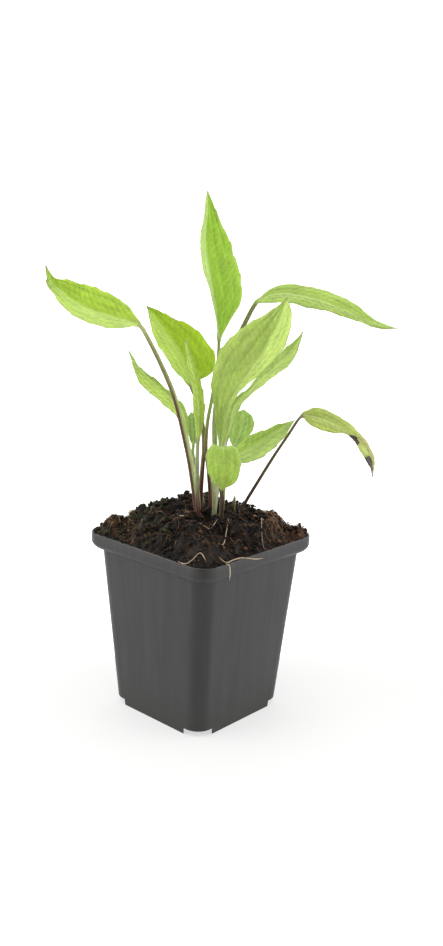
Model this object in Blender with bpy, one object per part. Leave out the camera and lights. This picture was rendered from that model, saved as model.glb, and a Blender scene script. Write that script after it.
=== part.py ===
"""A young purple coneflower plant in a square nursery pot.

Units are metres and +Z is up. The plant is modelled round the pot's own axis, with one corner of
the pot towards -Y, and everything is parented to an empty that carries the pot's place in the
object's frame. The frame's origin is on the ground, in the middle of the object's outline.
"""

import math

import bmesh
import bpy
from mathutils import Vector, noise
from mathutils.geometry import interpolate_bezier

# The pot stands here in the object's frame, because the leaves reach further to the right
POT_PLACE = (-0.0073, 0.0, 0.0)

# Pot
POT_HEIGHT = 0.100
RIM_SIDE = 0.090
RIM_CORNER_RADIUS = 0.0100
RIM_HEIGHT = 0.0048
FLARE_HEIGHT = 0.0044
FLARE_STEPS = 3
BODY_SIDE_AT_GROUND = 0.0672
BODY_SIDE_AT_TOP = 0.0820
BODY_CORNER_RADIUS = 0.0092
WALL = 0.0011
BEAD = 0.0004
FLOOR_UNDERSIDE = 0.0036
FLOOR_TOP = 0.0048
CORNER_STEPS = 5
NOTCH_WIDTH = 0.0150
NOTCH_LENGTH = 0.0200
NOTCH_OUT = 0.0420
NOTCH_BELOW_FLOOR = 0.0002
DRAIN_RADIUS = 0.0040
DRAIN_OUT = 0.0290
CENTRE_DRAIN_RADIUS = 0.0050
DRAIN_SIDES = 20
CUT_REACH = 0.0020

# Soil
FIT_GAP = 0.0003
SOIL_EDGE_HEIGHT = 0.0985
SOIL_MOUND = 0.0120
SOIL_RINGS = 17
SOIL_CORNER_STEPS = 8
LUMP_SIZE = 0.0090
LUMP_HEIGHT = 0.0060
CRUMB_SIZE = 0.0045
CRUMB_HEIGHT = 0.0024
STEM_DEPTH = 0.0100
HOLE_HEIGHT = 0.0240
HOLE_EASE = 1.5
HOLE_RINGS = 8
HOLE_SIDES = 10

# Leaves
BLADE_THICKNESS = 0.0007
ACROSS = (-1.0, -0.55, 0.0, 0.55, 1.0)
STALK_STATIONS = 11
STALK_AT_FOOT = 1.15
STALK_TAPER = 0.25
STALK_EDGE = 0.82
STALK_TOP = 0.70
TOOTH = 0.030
BLADE_TIP = 0.0005
RIB_RADIUS = 0.0007

# A stalk starts under the soil and runs up to the blade, and the blade's rib carries on from it.
# upper is where the blade's upper face looks, at its base and at its tip.
# left and right are how far the blade reaches from its rib at seven even steps along it, as seen
# from the upper face with the tip up.
# fold lifts both halves towards the upper face, and droop bends their edges back down.
LEAVES = {
    "leaf_top": {
        "stalk": [(0.0055, 0.0060, 0.1065), (0.0045, 0.0065, 0.1205), (0.0030, 0.0070, 0.1350),
                  (0.0015, 0.0075, 0.1455), (0.0020, 0.0090, 0.1590), (0.0040, 0.0110, 0.1715),
                  (0.0065, 0.0135, 0.1890)],
        "blade": [(0.0070, 0.0140, 0.2020), (0.0060, 0.0140, 0.2110), (0.0040, 0.0135, 0.2225),
                  (0.0015, 0.0130, 0.2340), (-0.0010, 0.0130, 0.2455), (-0.0020, 0.0135, 0.2560),
                  (-0.0015, 0.0150, 0.2665), (-0.0010, 0.0180, 0.2805)],
        "upper": [(0.85, -0.53, 0.05), (0.62, -0.78, 0.05)],
        "left": (0.0060, 0.0075, 0.0090, 0.0120, 0.0126, 0.0080, 0.0042),
        "right": (0.0084, 0.0172, 0.0187, 0.0180, 0.0158, 0.0113, 0.0050),
        "stalk_radius": 0.0010, "fold": 35.0, "droop": 0.12,
    },
    "leaf_left_high": {
        "stalk": [(-0.0025, -0.0030, 0.1090), (-0.0065, -0.0040, 0.1355), (-0.0100, -0.0050, 0.1520),
                  (-0.0155, -0.0065, 0.1735), (-0.0220, -0.0080, 0.1895), (-0.0295, -0.0090, 0.2045)],
        "blade": [(-0.0345, -0.0090, 0.2125), (-0.0395, -0.0100, 0.2145), (-0.0455, -0.0120, 0.2160),
                  (-0.0525, -0.0130, 0.2180), (-0.0595, -0.0145, 0.2205), (-0.0665, -0.0160, 0.2240),
                  (-0.0730, -0.0165, 0.2290), (-0.0785, -0.0160, 0.2335), (-0.0815, -0.0140, 0.2415)],
        "upper": [(-0.10, -0.62, 0.78), (-0.25, -0.60, 0.75)],
        "left": (0.0080, 0.0115, 0.0140, 0.0138, 0.0103, 0.0066, 0.0022),
        "right": (0.0093, 0.0118, 0.0134, 0.0128, 0.0107, 0.0071, 0.0028),
        "stalk_radius": 0.0012, "fold": 24.0, "droop": 0.12,
    },
    "leaf_left_broad": {
        "stalk": [(-0.0010, 0.0080, 0.1055), (-0.0005, 0.0090, 0.1210), (0.0000, 0.0105, 0.1345),
                  (0.0005, 0.0110, 0.1440), (-0.0005, 0.0110, 0.1570), (-0.0035, 0.0110, 0.1695)],
        "blade": [(-0.0075, 0.0110, 0.1785), (-0.0090, 0.0120, 0.1855), (-0.0125, 0.0135, 0.1940),
                  (-0.0170, 0.0150, 0.2015), (-0.0225, 0.0160, 0.2080), (-0.0275, 0.0170, 0.2140),
                  (-0.0320, 0.0160, 0.2200)],
        "upper": [(0.52, -0.78, 0.30), (0.40, -0.75, 0.45)],
        "left": (0.0086, 0.0133, 0.0151, 0.0153, 0.0139, 0.0102, 0.0060),
        "right": (0.0145, 0.0181, 0.0164, 0.0142, 0.0110, 0.0077, 0.0043),
        "stalk_radius": 0.0011, "fold": 28.0, "droop": 0.10,
    },
    "leaf_centre": {
        "stalk": [(0.0065, -0.0020, 0.1095), (0.0065, -0.0040, 0.1215), (0.0070, -0.0060, 0.1305),
                  (0.0075, -0.0075, 0.1380)],
        "blade": [(0.0085, -0.0085, 0.1475), (0.0095, -0.0105, 0.1575), (0.0105, -0.0120, 0.1690),
                  (0.0135, -0.0135, 0.1780), (0.0185, -0.0150, 0.1870), (0.0250, -0.0165, 0.1970),
                  (0.0305, -0.0175, 0.2065), (0.0355, -0.0170, 0.2175), (0.0400, -0.0125, 0.2295)],
        "upper": [(-0.64, -0.75, 0.15), (-0.48, -0.85, 0.20)],
        "left": (0.0036, 0.0074, 0.0140, 0.0186, 0.0184, 0.0146, 0.0076),
        "right": (0.0032, 0.0036, 0.0040, 0.0066, 0.0103, 0.0130, 0.0091),
        "stalk_radius": 0.0012, "fold": 29.0, "droop": 0.08,
    },
    "leaf_narrow": {
        "stalk": [(-0.0020, -0.0065, 0.1095), (-0.0030, -0.0075, 0.1255), (-0.0035, -0.0095, 0.1435)],
        "blade": [(-0.0035, -0.0105, 0.1530), (-0.0035, -0.0110, 0.1615), (-0.0040, -0.0120, 0.1740),
                  (-0.0055, -0.0120, 0.1840), (-0.0085, -0.0110, 0.1945), (-0.0115, -0.0090, 0.2065)],
        "upper": [(0.55, -0.80, 0.10), (0.55, -0.80, 0.10)],
        "left": (0.0036, 0.0045, 0.0050, 0.0050, 0.0043, 0.0033, 0.0020),
        "right": (0.0025, 0.0032, 0.0035, 0.0032, 0.0027, 0.0022, 0.0014),
        "stalk_radius": 0.0011, "fold": 24.0, "droop": 0.00,
    },
    "leaf_right_mid": {
        "stalk": [(0.0070, 0.0020, 0.1080), (0.0085, 0.0040, 0.1250), (0.0105, 0.0040, 0.1385)],
        "blade": [(0.0120, 0.0040, 0.1500), (0.0135, 0.0040, 0.1585), (0.0150, 0.0040, 0.1665),
                  (0.0180, 0.0040, 0.1725), (0.0235, 0.0040, 0.1780), (0.0300, 0.0040, 0.1845),
                  (0.0370, 0.0040, 0.1910), (0.0435, 0.0045, 0.1975), (0.0480, 0.0050, 0.2040),
                  (0.0505, 0.0050, 0.2100)],
        "upper": [(-0.55, -0.60, 0.50), (-0.55, -0.60, 0.50)],
        "left": (0.0022, 0.0022, 0.0022, 0.0028, 0.0042, 0.0047, 0.0035),
        "right": (0.0036, 0.0052, 0.0048, 0.0050, 0.0066, 0.0076, 0.0050),
        "stalk_radius": 0.0010, "fold": 24.0, "droop": 0.10,
    },
    "leaf_right_high": {
        "stalk": [(0.0070, 0.0095, 0.1050), (0.0065, 0.0105, 0.1260), (0.0065, 0.0115, 0.1430),
                  (0.0060, 0.0120, 0.1575), (0.0065, 0.0125, 0.1685), (0.0085, 0.0130, 0.1805),
                  (0.0130, 0.0110, 0.1980), (0.0190, 0.0090, 0.2110)],
        "blade": [(0.0245, 0.0070, 0.2230), (0.0280, 0.0045, 0.2265), (0.0330, 0.0020, 0.2290),
                  (0.0395, -0.0005, 0.2300), (0.0470, -0.0030, 0.2295), (0.0550, -0.0055, 0.2280),
                  (0.0635, -0.0075, 0.2255), (0.0715, -0.0095, 0.2225), (0.0795, -0.0115, 0.2190),
                  (0.0875, -0.0130, 0.2165), (0.0965, -0.0140, 0.2155)],
        "upper": [(0.05, -0.50, 0.85), (0.15, -0.50, 0.85)],
        "left": (0.0075, 0.0100, 0.0110, 0.0115, 0.0106, 0.0076, 0.0040),
        "right": (0.0062, 0.0084, 0.0090, 0.0079, 0.0061, 0.0040, 0.0021),
        "stalk_radius": 0.0013, "fold": 14.0, "droop": 0.25,
    },
    "leaf_left_low": {
        "stalk": [(-0.0010, 0.0035, 0.1070), (-0.0025, 0.0040, 0.1220), (-0.0050, 0.0045, 0.1345),
                  (-0.0070, 0.0050, 0.1430)],
        "blade": [(-0.0090, 0.0050, 0.1520), (-0.0100, 0.0055, 0.1595), (-0.0125, 0.0060, 0.1665),
                  (-0.0175, 0.0070, 0.1715), (-0.0240, 0.0080, 0.1775), (-0.0305, 0.0090, 0.1830),
                  (-0.0360, 0.0100, 0.1885), (-0.0410, 0.0110, 0.1965)],
        "upper": [(0.30, -0.60, 0.70), (0.30, -0.60, 0.70)],
        "left": (0.0035, 0.0064, 0.0075, 0.0082, 0.0088, 0.0072, 0.0034),
        "right": (0.0021, 0.0026, 0.0028, 0.0026, 0.0022, 0.0017, 0.0012),
        "stalk_radius": 0.0010, "fold": 14.0, "droop": 0.10,
    },
    "leaf_back_left": {
        "stalk": [(0.0020, 0.0120, 0.1060), (-0.0010, 0.0180, 0.1210), (-0.0050, 0.0240, 0.1370)],
        "blade": [(-0.0050, 0.0260, 0.1430), (-0.0060, 0.0280, 0.1515), (-0.0065, 0.0300, 0.1605)],
        "upper": [(0.10, -0.80, 0.60), (0.10, -0.80, 0.60)],
        "left": (0.0018, 0.0023, 0.0027, 0.0028, 0.0027, 0.0026, 0.0019),
        "right": (0.0029, 0.0036, 0.0042, 0.0044, 0.0039, 0.0033, 0.0021),
        "stalk_radius": 0.0009, "fold": 8.0, "droop": 0.10,
    },
    "leaf_back_right": {
        "stalk": [(0.0105, 0.0110, 0.1070), (0.0125, 0.0145, 0.1220), (0.0160, 0.0190, 0.1380)],
        "blade": [(0.0175, 0.0210, 0.1430), (0.0205, 0.0240, 0.1515), (0.0225, 0.0270, 0.1635)],
        "upper": [(-0.10, -0.80, 0.60), (-0.10, -0.80, 0.60)],
        "left": (0.0035, 0.0052, 0.0064, 0.0064, 0.0063, 0.0056, 0.0041),
        "right": (0.0030, 0.0044, 0.0059, 0.0073, 0.0073, 0.0068, 0.0053),
        "stalk_radius": 0.0009, "fold": 8.0, "droop": 0.10,
    },
    "leaf_right_low": {
        "stalk": [(0.0110, 0.0010, 0.1080), (0.0115, 0.0020, 0.1220), (0.0120, 0.0020, 0.1370)],
        "blade": [(0.0140, 0.0020, 0.1410), (0.0195, 0.0005, 0.1445), (0.0260, -0.0005, 0.1485),
                  (0.0320, -0.0015, 0.1530), (0.0385, -0.0025, 0.1580), (0.0480, -0.0020, 0.1640)],
        "upper": [(-0.20, -0.75, 0.65), (-0.20, -0.75, 0.65)],
        "left": (0.0045, 0.0063, 0.0069, 0.0058, 0.0046, 0.0035, 0.0020),
        "right": (0.0060, 0.0081, 0.0089, 0.0091, 0.0084, 0.0065, 0.0037),
        "stalk_radius": 0.0010, "fold": 14.0, "droop": 0.15,
    },
    "leaf_front": {
        "stalk": [(0.0100, -0.0110, 0.1120), (0.0100, -0.0130, 0.1240), (0.0080, -0.0140, 0.1380)],
        "blade": [(0.0085, -0.0180, 0.1490), (0.0090, -0.0240, 0.1535), (0.0090, -0.0320, 0.1535),
                  (0.0090, -0.0380, 0.1485), (0.0090, -0.0420, 0.1430), (0.0080, -0.0440, 0.1360)],
        "upper": [(0.05, -0.30, 0.95), (0.05, -0.95, 0.10)],
        "left": (0.0035, 0.0050, 0.0065, 0.0080, 0.0088, 0.0083, 0.0060),
        "right": (0.0035, 0.0055, 0.0070, 0.0089, 0.0092, 0.0085, 0.0066),
        "stalk_radius": 0.0011, "fold": 14.0, "droop": 0.10,
    },
    "leaf_right_droop": {
        "stalk": [(0.0210, 0.0070, 0.1080), (0.0233, 0.0070, 0.1140), (0.0298, 0.0050, 0.1270),
                  (0.0380, 0.0020, 0.1430), (0.0450, 0.0010, 0.1550)],
        "blade": [(0.0510, -0.0010, 0.1655), (0.0555, -0.0020, 0.1665), (0.0610, -0.0035, 0.1655),
                  (0.0680, -0.0055, 0.1630), (0.0740, -0.0075, 0.1600), (0.0800, -0.0095, 0.1555),
                  (0.0850, -0.0115, 0.1500), (0.0885, -0.0130, 0.1435), (0.0895, -0.0130, 0.1365)],
        "upper": [(0.10, -0.60, 0.80), (0.70, -0.50, 0.50)],
        "left": (0.0070, 0.0084, 0.0076, 0.0070, 0.0064, 0.0052, 0.0041),
        "right": (0.0072, 0.0087, 0.0064, 0.0019, 0.0031, 0.0043, 0.0041),
        "stalk_radius": 0.0008, "fold": 20.0, "droop": 0.30,
    },
}
BLADE_STATIONS = {"leaf_back_left": 11, "leaf_back_right": 12}
BLADE_STATIONS_USUAL = 21


def clear_scene():
    for obj in list(bpy.data.objects):
        bpy.data.objects.remove(obj)


def new_collection(name):
    collection = bpy.data.collections.new(name)
    bpy.context.scene.collection.children.link(collection)
    return collection


def new_material(name, colour, roughness):
    material = bpy.data.materials.new(name)
    material.use_nodes = True
    shader = material.node_tree.nodes["Principled BSDF"]
    shader.inputs["Base Color"].default_value = (*colour, 1.0)
    shader.inputs["Roughness"].default_value = roughness
    shader.inputs["Metallic"].default_value = 0.0
    return material


def object_from_bmesh(name, bm, material, collection, parent):
    bmesh.ops.recalc_face_normals(bm, faces=bm.faces)
    mesh = bpy.data.meshes.new(name)
    bm.to_mesh(mesh)
    bm.free()
    mesh.materials.append(material)
    mesh.shade_smooth()
    mesh.set_sharp_from_angle(angle=math.radians(35))
    obj = bpy.data.objects.new(name, mesh)
    obj.parent = parent
    collection.objects.link(obj)
    return obj


def smoothstep(low, high, value):
    t = min(1.0, max(0.0, (value - low) / (high - low)))
    return t * t * (3.0 - 2.0 * t)


def smooth_path(points, count):
    """count points at even spacing on a smooth curve through the given points."""
    knots = [Vector(p) for p in points]
    dense = []
    for i in range(len(knots) - 1):
        before = knots[max(i - 1, 0)]
        after = knots[min(i + 2, len(knots) - 1)]
        start_pull = (knots[i + 1] - before) / 6.0
        end_pull = (after - knots[i]) / 6.0
        piece = interpolate_bezier(knots[i], knots[i] + start_pull, knots[i + 1] - end_pull, knots[i + 1], 25)
        dense += piece if i == 0 else piece[1:]
    lengths = [0.0]
    for a, b in zip(dense, dense[1:]):
        lengths.append(lengths[-1] + (b - a).length)
    path = []
    j = 0
    for k in range(count):
        target = lengths[-1] * k / (count - 1)
        while j < len(dense) - 2 and lengths[j + 1] < target:
            j += 1
        share = (target - lengths[j]) / (lengths[j + 1] - lengths[j])
        path.append(dense[j].lerp(dense[j + 1], min(1.0, max(0.0, share))))
    return path


def square_ring(side, corner_radius, z, steps):
    """Points round a square with rounded corners, whose corners lie on the X and Y axes."""
    points = []
    to_centre = (side / 2.0 - corner_radius) * math.sqrt(2.0)
    for corner in range(4):
        middle = math.radians(-90.0 + 90.0 * corner)
        centre = Vector((math.cos(middle), math.sin(middle), 0.0)) * to_centre
        for k in range(steps + 1):
            angle = middle + math.radians(-45.0 + 90.0 * k / steps)
            reach = Vector((math.cos(angle), math.sin(angle), 0.0)) * corner_radius
            points.append(Vector((centre.x + reach.x, centre.y + reach.y, z)))
    return points


def loft(rings):
    """A closed solid through rings of the same number of points."""
    bm = bmesh.new()
    rows = [[bm.verts.new(p) for p in ring] for ring in rings]
    for low, high in zip(rows, rows[1:]):
        for i in range(len(low)):
            j = (i + 1) % len(low)
            bm.faces.new((low[i], low[j], high[j], high[i]))
    bm.faces.new(rows[0])
    bm.faces.new(rows[-1])
    return bm


def body_side(z):
    return BODY_SIDE_AT_GROUND + (BODY_SIDE_AT_TOP - BODY_SIDE_AT_GROUND) * z / POT_HEIGHT


def cut_by(obj, cutters):
    """Cuts obj by a whole collection, then removes the collection's objects."""
    modifier = obj.modifiers.new("Cut", "BOOLEAN")
    modifier.operation = "DIFFERENCE"
    modifier.operand_type = "COLLECTION"
    modifier.collection = cutters
    modifier.solver = "EXACT"
    bpy.context.view_layer.update()
    evaluated = obj.evaluated_get(bpy.context.evaluated_depsgraph_get())
    obj.data = bpy.data.meshes.new_from_object(evaluated)
    obj.modifiers.clear()
    for other in list(cutters.objects):
        bpy.data.objects.remove(other)


def drain_cutter(name, radius, x, y, collection, parent):
    low = FLOOR_UNDERSIDE - CUT_REACH
    high = FLOOR_TOP + CUT_REACH
    bm = bmesh.new()
    bmesh.ops.create_cone(bm, cap_ends=True, segments=DRAIN_SIDES, radius1=radius, radius2=radius,
                          depth=high - low)
    bmesh.ops.translate(bm, verts=bm.verts, vec=(x, y, (low + high) / 2.0))
    return object_from_bmesh(name, bm, bpy.data.materials["pot_plastic"], collection, parent)


def wall_rings(inset, bottom):
    """The wall's outline at a depth of inset inside its outer face, up through the flare below the rim."""
    flare_low = POT_HEIGHT - RIM_HEIGHT - FLARE_HEIGHT + inset
    body_radius = BODY_CORNER_RADIUS - inset
    low_side = body_side(flare_low) - 2.0 * inset
    high_side = RIM_SIDE - 2.0 * inset
    rings = [
        square_ring(body_side(bottom) - 2.0 * inset, body_radius, bottom, CORNER_STEPS),
        square_ring(low_side, body_radius, flare_low, CORNER_STEPS),
    ]
    for k in range(1, FLARE_STEPS + 1):
        angle = math.radians(90.0 * k / FLARE_STEPS)
        side = low_side + (high_side - low_side) * math.sin(angle)
        radius = body_radius + (RIM_CORNER_RADIUS - BODY_CORNER_RADIUS) * math.sin(angle)
        z = flare_low + FLARE_HEIGHT * (1.0 - math.cos(angle))
        rings.append(square_ring(side, radius, z, CORNER_STEPS))
    return rings


def make_pot(collection, cutters, parent):
    """A thin tapered pot: a flared rim, a raised floor with drain holes, and a gap at each foot corner."""
    plastic = bpy.data.materials["pot_plastic"]
    outer = wall_rings(0.0, 0.0)
    outer.append(square_ring(RIM_SIDE, RIM_CORNER_RADIUS, POT_HEIGHT - BEAD, CORNER_STEPS))
    outer.append(square_ring(RIM_SIDE - 2.0 * BEAD, RIM_CORNER_RADIUS - BEAD, POT_HEIGHT, CORNER_STEPS))
    pot = object_from_bmesh("pot", loft(outer), plastic, collection, parent)
    inner = wall_rings(WALL, FLOOR_TOP)
    inner.append(square_ring(RIM_SIDE - 2.0 * WALL, RIM_CORNER_RADIUS - WALL, POT_HEIGHT + CUT_REACH,
                             CORNER_STEPS))
    object_from_bmesh("inside_cutter", loft(inner), plastic, cutters, parent)
    under = [square_ring(body_side(z) - 2.0 * WALL, BODY_CORNER_RADIUS - WALL, z, CORNER_STEPS)
             for z in (-CUT_REACH, FLOOR_UNDERSIDE)]
    object_from_bmesh("underside_cutter", loft(under), plastic, cutters, parent)
    cut_by(pot, cutters)
    notch_top = FLOOR_UNDERSIDE - NOTCH_BELOW_FLOOR
    for corner in range(4):
        angle = math.radians(-90.0 + 90.0 * corner)
        out = Vector((math.cos(angle), math.sin(angle), 0.0))
        bm = bmesh.new()
        bmesh.ops.create_cube(bm, size=1.0)
        bmesh.ops.scale(bm, verts=bm.verts, vec=(NOTCH_LENGTH, NOTCH_WIDTH, notch_top + CUT_REACH))
        notch = object_from_bmesh(f"notch_cutter_{corner}", bm, plastic, cutters, parent)
        notch.rotation_euler.z = angle
        notch.location = out * NOTCH_OUT + Vector((0.0, 0.0, (notch_top - CUT_REACH) / 2.0))
        hole = out * DRAIN_OUT
        drain_cutter(f"drain_cutter_{corner}", DRAIN_RADIUS, hole.x, hole.y, cutters, parent)
    drain_cutter("centre_drain_cutter", CENTRE_DRAIN_RADIUS, 0.0, 0.0, cutters, parent)
    cut_by(pot, cutters)


def soil_height(x, y, share):
    """Height of the soil's top. share runs from 0 in the middle to 1 at the pot's wall."""
    lump = noise.noise(Vector((x / LUMP_SIZE, y / LUMP_SIZE, 3.7)))
    crumb = noise.noise(Vector((x / CRUMB_SIZE, y / CRUMB_SIZE, 9.1)))
    mound = SOIL_MOUND * (1.0 - share ** 5)
    fade = 1.0 - 0.75 * smoothstep(0.8, 1.0, share)
    return SOIL_EDGE_HEIGHT + mound + fade * (LUMP_HEIGHT * lump + CRUMB_HEIGHT * crumb)


def soil_bmesh():
    """The root ball: it fills the pot's inside, and its top is a lumpy mound."""
    inset = WALL + FIT_GAP
    walls = wall_rings(inset, FLOOR_TOP + FIT_GAP)
    walls = [with_side_points(ring, SOIL_CORNER_STEPS) for ring in walls]
    bm = bmesh.new()
    rows = [[bm.verts.new(p) for p in ring] for ring in walls]
    outline = walls[-1]
    for k in range(SOIL_RINGS):
        share = 1.0 - k / SOIL_RINGS
        row = []
        for p in outline:
            x, y = p.x * share, p.y * share
            row.append(bm.verts.new((x, y, soil_height(x, y, share))))
        rows.append(row)
    for low, high in zip(rows, rows[1:]):
        for i in range(len(low)):
            j = (i + 1) % len(low)
            bm.faces.new((low[i], low[j], high[j], high[i]))
    bm.faces.new(rows[0])
    centre = bm.verts.new((0.0, 0.0, soil_height(0.0, 0.0, 0.0)))
    last = rows[-1]
    for i in range(len(last)):
        bm.faces.new((last[i], last[(i + 1) % len(last)], centre))
    bmesh.ops.triangulate(bm, faces=bm.faces)
    return bm


def with_side_points(ring, count):
    """The ring with count more points along each straight side."""
    per_corner = CORNER_STEPS + 1
    points = []
    for corner in range(4):
        points += ring[corner * per_corner:(corner + 1) * per_corner]
        start = points[-1]
        end = ring[((corner + 1) * per_corner) % len(ring)]
        points += [start.lerp(end, (k + 1) / (count + 1)) for k in range(count)]
    return points


def half_blade(leaf, half, share):
    """How far one half of the blade reaches from the rib, smoothly through the leaf's own values."""
    steps = [leaf["stalk_radius"], *leaf[half], BLADE_TIP]
    i = min(int(share * (len(steps) - 1)), len(steps) - 2)
    t = share * (len(steps) - 1) - i
    rise_before = (steps[i + 1] - steps[max(i - 1, 0)]) / 2.0
    rise_after = (steps[min(i + 2, len(steps) - 1)] - steps[i]) / 2.0
    bend = 3.0 * (steps[i + 1] - steps[i]) - 2.0 * rise_before - rise_after
    twist = rise_before + rise_after - 2.0 * (steps[i + 1] - steps[i])
    return steps[i] + t * (rise_before + t * (bend + t * twist))


def leaf_route(leaf):
    """Close points along the whole leaf, from the stalk's foot in the soil to the blade's tip."""
    start = Vector(leaf["stalk"][0])
    foot = Vector((start.x, start.y, start.z - STEM_DEPTH))
    return smooth_path([foot, *leaf["stalk"], *leaf["blade"]], 400)


def leaf_frames(leaf, stalk_count, blade_count):
    """(point, side, up, share along the blade) at each station, from under the soil to the tip.

    The share is negative on the stalk."""
    dense = leaf_route(leaf)
    base = Vector(leaf["blade"][0])
    split = min(range(len(dense)), key=lambda i: (dense[i] - base).length)
    stations = [split * k / stalk_count for k in range(stalk_count)]
    stations += [split + (len(dense) - 1 - split) * k / (blade_count - 1) for k in range(blade_count)]
    low, high = (Vector(v) for v in leaf["upper"])
    frames = []
    for s in stations:
        i = min(len(dense) - 2, int(s))
        point = dense[i].lerp(dense[i + 1], s - i)
        along = dense[min(len(dense) - 1, i + 3)] - dense[max(0, i - 3)]
        along.normalize()
        share = (s - split) / (len(dense) - 1 - split)
        side = along.cross(low.lerp(high, max(0.0, share))).normalized()
        frames.append((point, side, side.cross(along).normalized(), share))
    return frames


def leaf_section(leaf, frame, index):
    """Upper and lower rows of points across one station."""
    point, side, up, share = frame
    radius = leaf["stalk_radius"] * (STALK_AT_FOOT - STALK_TAPER * smoothstep(-1.0, 0.2, share))
    widths = {"left": radius, "right": radius}
    flat = 0.0
    if share > 0.0:
        for half in widths:
            widths[half] = half_blade(leaf, half, share) * (1.0 + TOOTH * (-1.0) ** index)
        flat = smoothstep(0.0, 0.10, share)
    fold = math.radians(leaf["fold"]) * flat
    rib = RIB_RADIUS * (1.0 - smoothstep(0.45, 0.9, share))
    upper, lower = [], []
    for s in ACROSS:
        reach = abs(s)
        width = widths["right"] if s > 0.0 else widths["left"]
        width = widths["right"] if s > 0.0 else widths["left"]
        width = widths["right"] if s > 0.0 else widths["left"]
        width = widths["right"] if s > 0.0 else widths["left"]
        out = side * (s * width * math.cos(fold))
        lift = reach * math.sin(fold) - leaf["droop"] * flat * reach ** 3
        centre = point + out + up * (width * lift)
        round_half = radius * math.sqrt(1.0 - STALK_EDGE * s * s)
        top = (1.0 - flat) * STALK_TOP * round_half + flat * BLADE_THICKNESS / 2.0
        keel = rib if s == 0.0 else 0.0
        under = (1.0 - flat) * round_half + flat * (BLADE_THICKNESS / 2.0 + keel)
        upper.append(centre + up * top)
        lower.append(centre - up * under)
    return upper, lower


def leaf_bmesh(leaf, stalk_count, blade_count):
    """One leaf in one solid: a grooved stalk that widens into a folded, toothed blade."""
    bm = bmesh.new()
    rows = []
    for index, frame in enumerate(leaf_frames(leaf, stalk_count, blade_count)):
        upper, lower = leaf_section(leaf, frame, index)
        rows.append(([bm.verts.new(p) for p in upper], [bm.verts.new(p) for p in lower]))
    last = len(ACROSS) - 1
    for (up_a, low_a), (up_b, low_b) in zip(rows, rows[1:]):
        for j in range(last):
            # Both faces are split along the same diagonal, so that they never cross
            bm.faces.new((up_a[j], up_a[j + 1], up_b[j + 1]))
            bm.faces.new((up_a[j], up_b[j + 1], up_b[j]))
            bm.faces.new((low_a[j], low_b[j + 1], low_a[j + 1]))
            bm.faces.new((low_a[j], low_b[j], low_b[j + 1]))
        bm.faces.new((up_a[0], up_b[0], low_b[0]))
        bm.faces.new((up_a[0], low_b[0], low_a[0]))
        bm.faces.new((up_a[last], low_b[last], up_b[last]))
        bm.faces.new((up_a[last], low_a[last], low_b[last]))
    for upper, lower in (rows[0], rows[-1]):
        for j in range(last):
            bm.faces.new((upper[j], upper[j + 1], lower[j + 1], lower[j]))
    return bm


def make_leaves(collection, parent):
    green = bpy.data.materials["leaf_green"]
    for name, leaf in LEAVES.items():
        count = BLADE_STATIONS.get(name, BLADE_STATIONS_USUAL)
        bm = leaf_bmesh(leaf, STALK_STATIONS, count)
        object_from_bmesh(name, bm, green, collection, parent)


def stem_hole_bmesh(leaf):
    """A plain hole in the soil for one stalk, a little wider than the stalk."""
    route = leaf_route(leaf)
    above = [i for i, point in enumerate(route) if point.z > route[0].z + HOLE_HEIGHT][0]
    radius = leaf["stalk_radius"] * HOLE_EASE + FIT_GAP
    rings = []
    for k in range(HOLE_RINGS):
        point = route[round(above * k / (HOLE_RINGS - 1))]
        floor_gap = FIT_GAP if k == 0 else 0.0
        turns = [math.tau * n / HOLE_SIDES for n in range(HOLE_SIDES)]
        rings.append([Vector((point.x + radius * math.cos(a), point.y + radius * math.sin(a),
                              point.z - floor_gap)) for a in turns])
    return loft(rings)


def make_soil(collection, cutters, parent):
    soil_brown = bpy.data.materials["soil"]
    soil = object_from_bmesh("soil", soil_bmesh(), soil_brown, collection, parent)
    for name, leaf in LEAVES.items():
        object_from_bmesh(f"hole_{name}", stem_hole_bmesh(leaf), soil_brown, cutters, parent)
    cut_by(soil, cutters)


def main():
    clear_scene()
    parts = new_collection("purple_coneflower_plant")
    cutters = new_collection("cutters")
    cutters.hide_render = True
    place = bpy.data.objects.new("plant_place", None)
    place.location = POT_PLACE
    parts.objects.link(place)
    new_material("pot_plastic", (0.060, 0.060, 0.062), 0.45)
    new_material("soil", (0.020, 0.013, 0.009), 0.95)
    new_material("leaf_green", (0.270, 0.470, 0.045), 0.50)
    make_pot(parts, cutters, place)
    make_soil(parts, cutters, place)
    make_leaves(parts, place)


if __name__ == "__main__":
    main()
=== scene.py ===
import math
import random

import bmesh
import bpy
from mathutils import Matrix, Vector, noise
from mathutils.geometry import interpolate_bezier


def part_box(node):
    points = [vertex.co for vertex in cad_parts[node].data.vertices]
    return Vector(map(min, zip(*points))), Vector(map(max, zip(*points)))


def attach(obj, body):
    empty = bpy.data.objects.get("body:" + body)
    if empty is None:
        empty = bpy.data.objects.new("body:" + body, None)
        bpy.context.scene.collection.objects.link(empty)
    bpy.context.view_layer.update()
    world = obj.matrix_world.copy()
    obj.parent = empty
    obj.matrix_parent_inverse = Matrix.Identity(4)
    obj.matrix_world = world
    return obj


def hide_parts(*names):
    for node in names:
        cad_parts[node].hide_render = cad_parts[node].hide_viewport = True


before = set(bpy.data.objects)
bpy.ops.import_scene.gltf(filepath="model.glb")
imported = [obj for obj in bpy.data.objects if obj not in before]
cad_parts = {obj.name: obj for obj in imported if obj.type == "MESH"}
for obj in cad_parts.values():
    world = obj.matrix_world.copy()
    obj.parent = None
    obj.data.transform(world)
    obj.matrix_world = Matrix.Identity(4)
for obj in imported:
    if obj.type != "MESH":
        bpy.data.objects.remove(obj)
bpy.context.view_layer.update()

# The pot's own axis in the frame, found from its box. Points below are given from the pot's axis.
pot_low, pot_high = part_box("pot")
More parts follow.
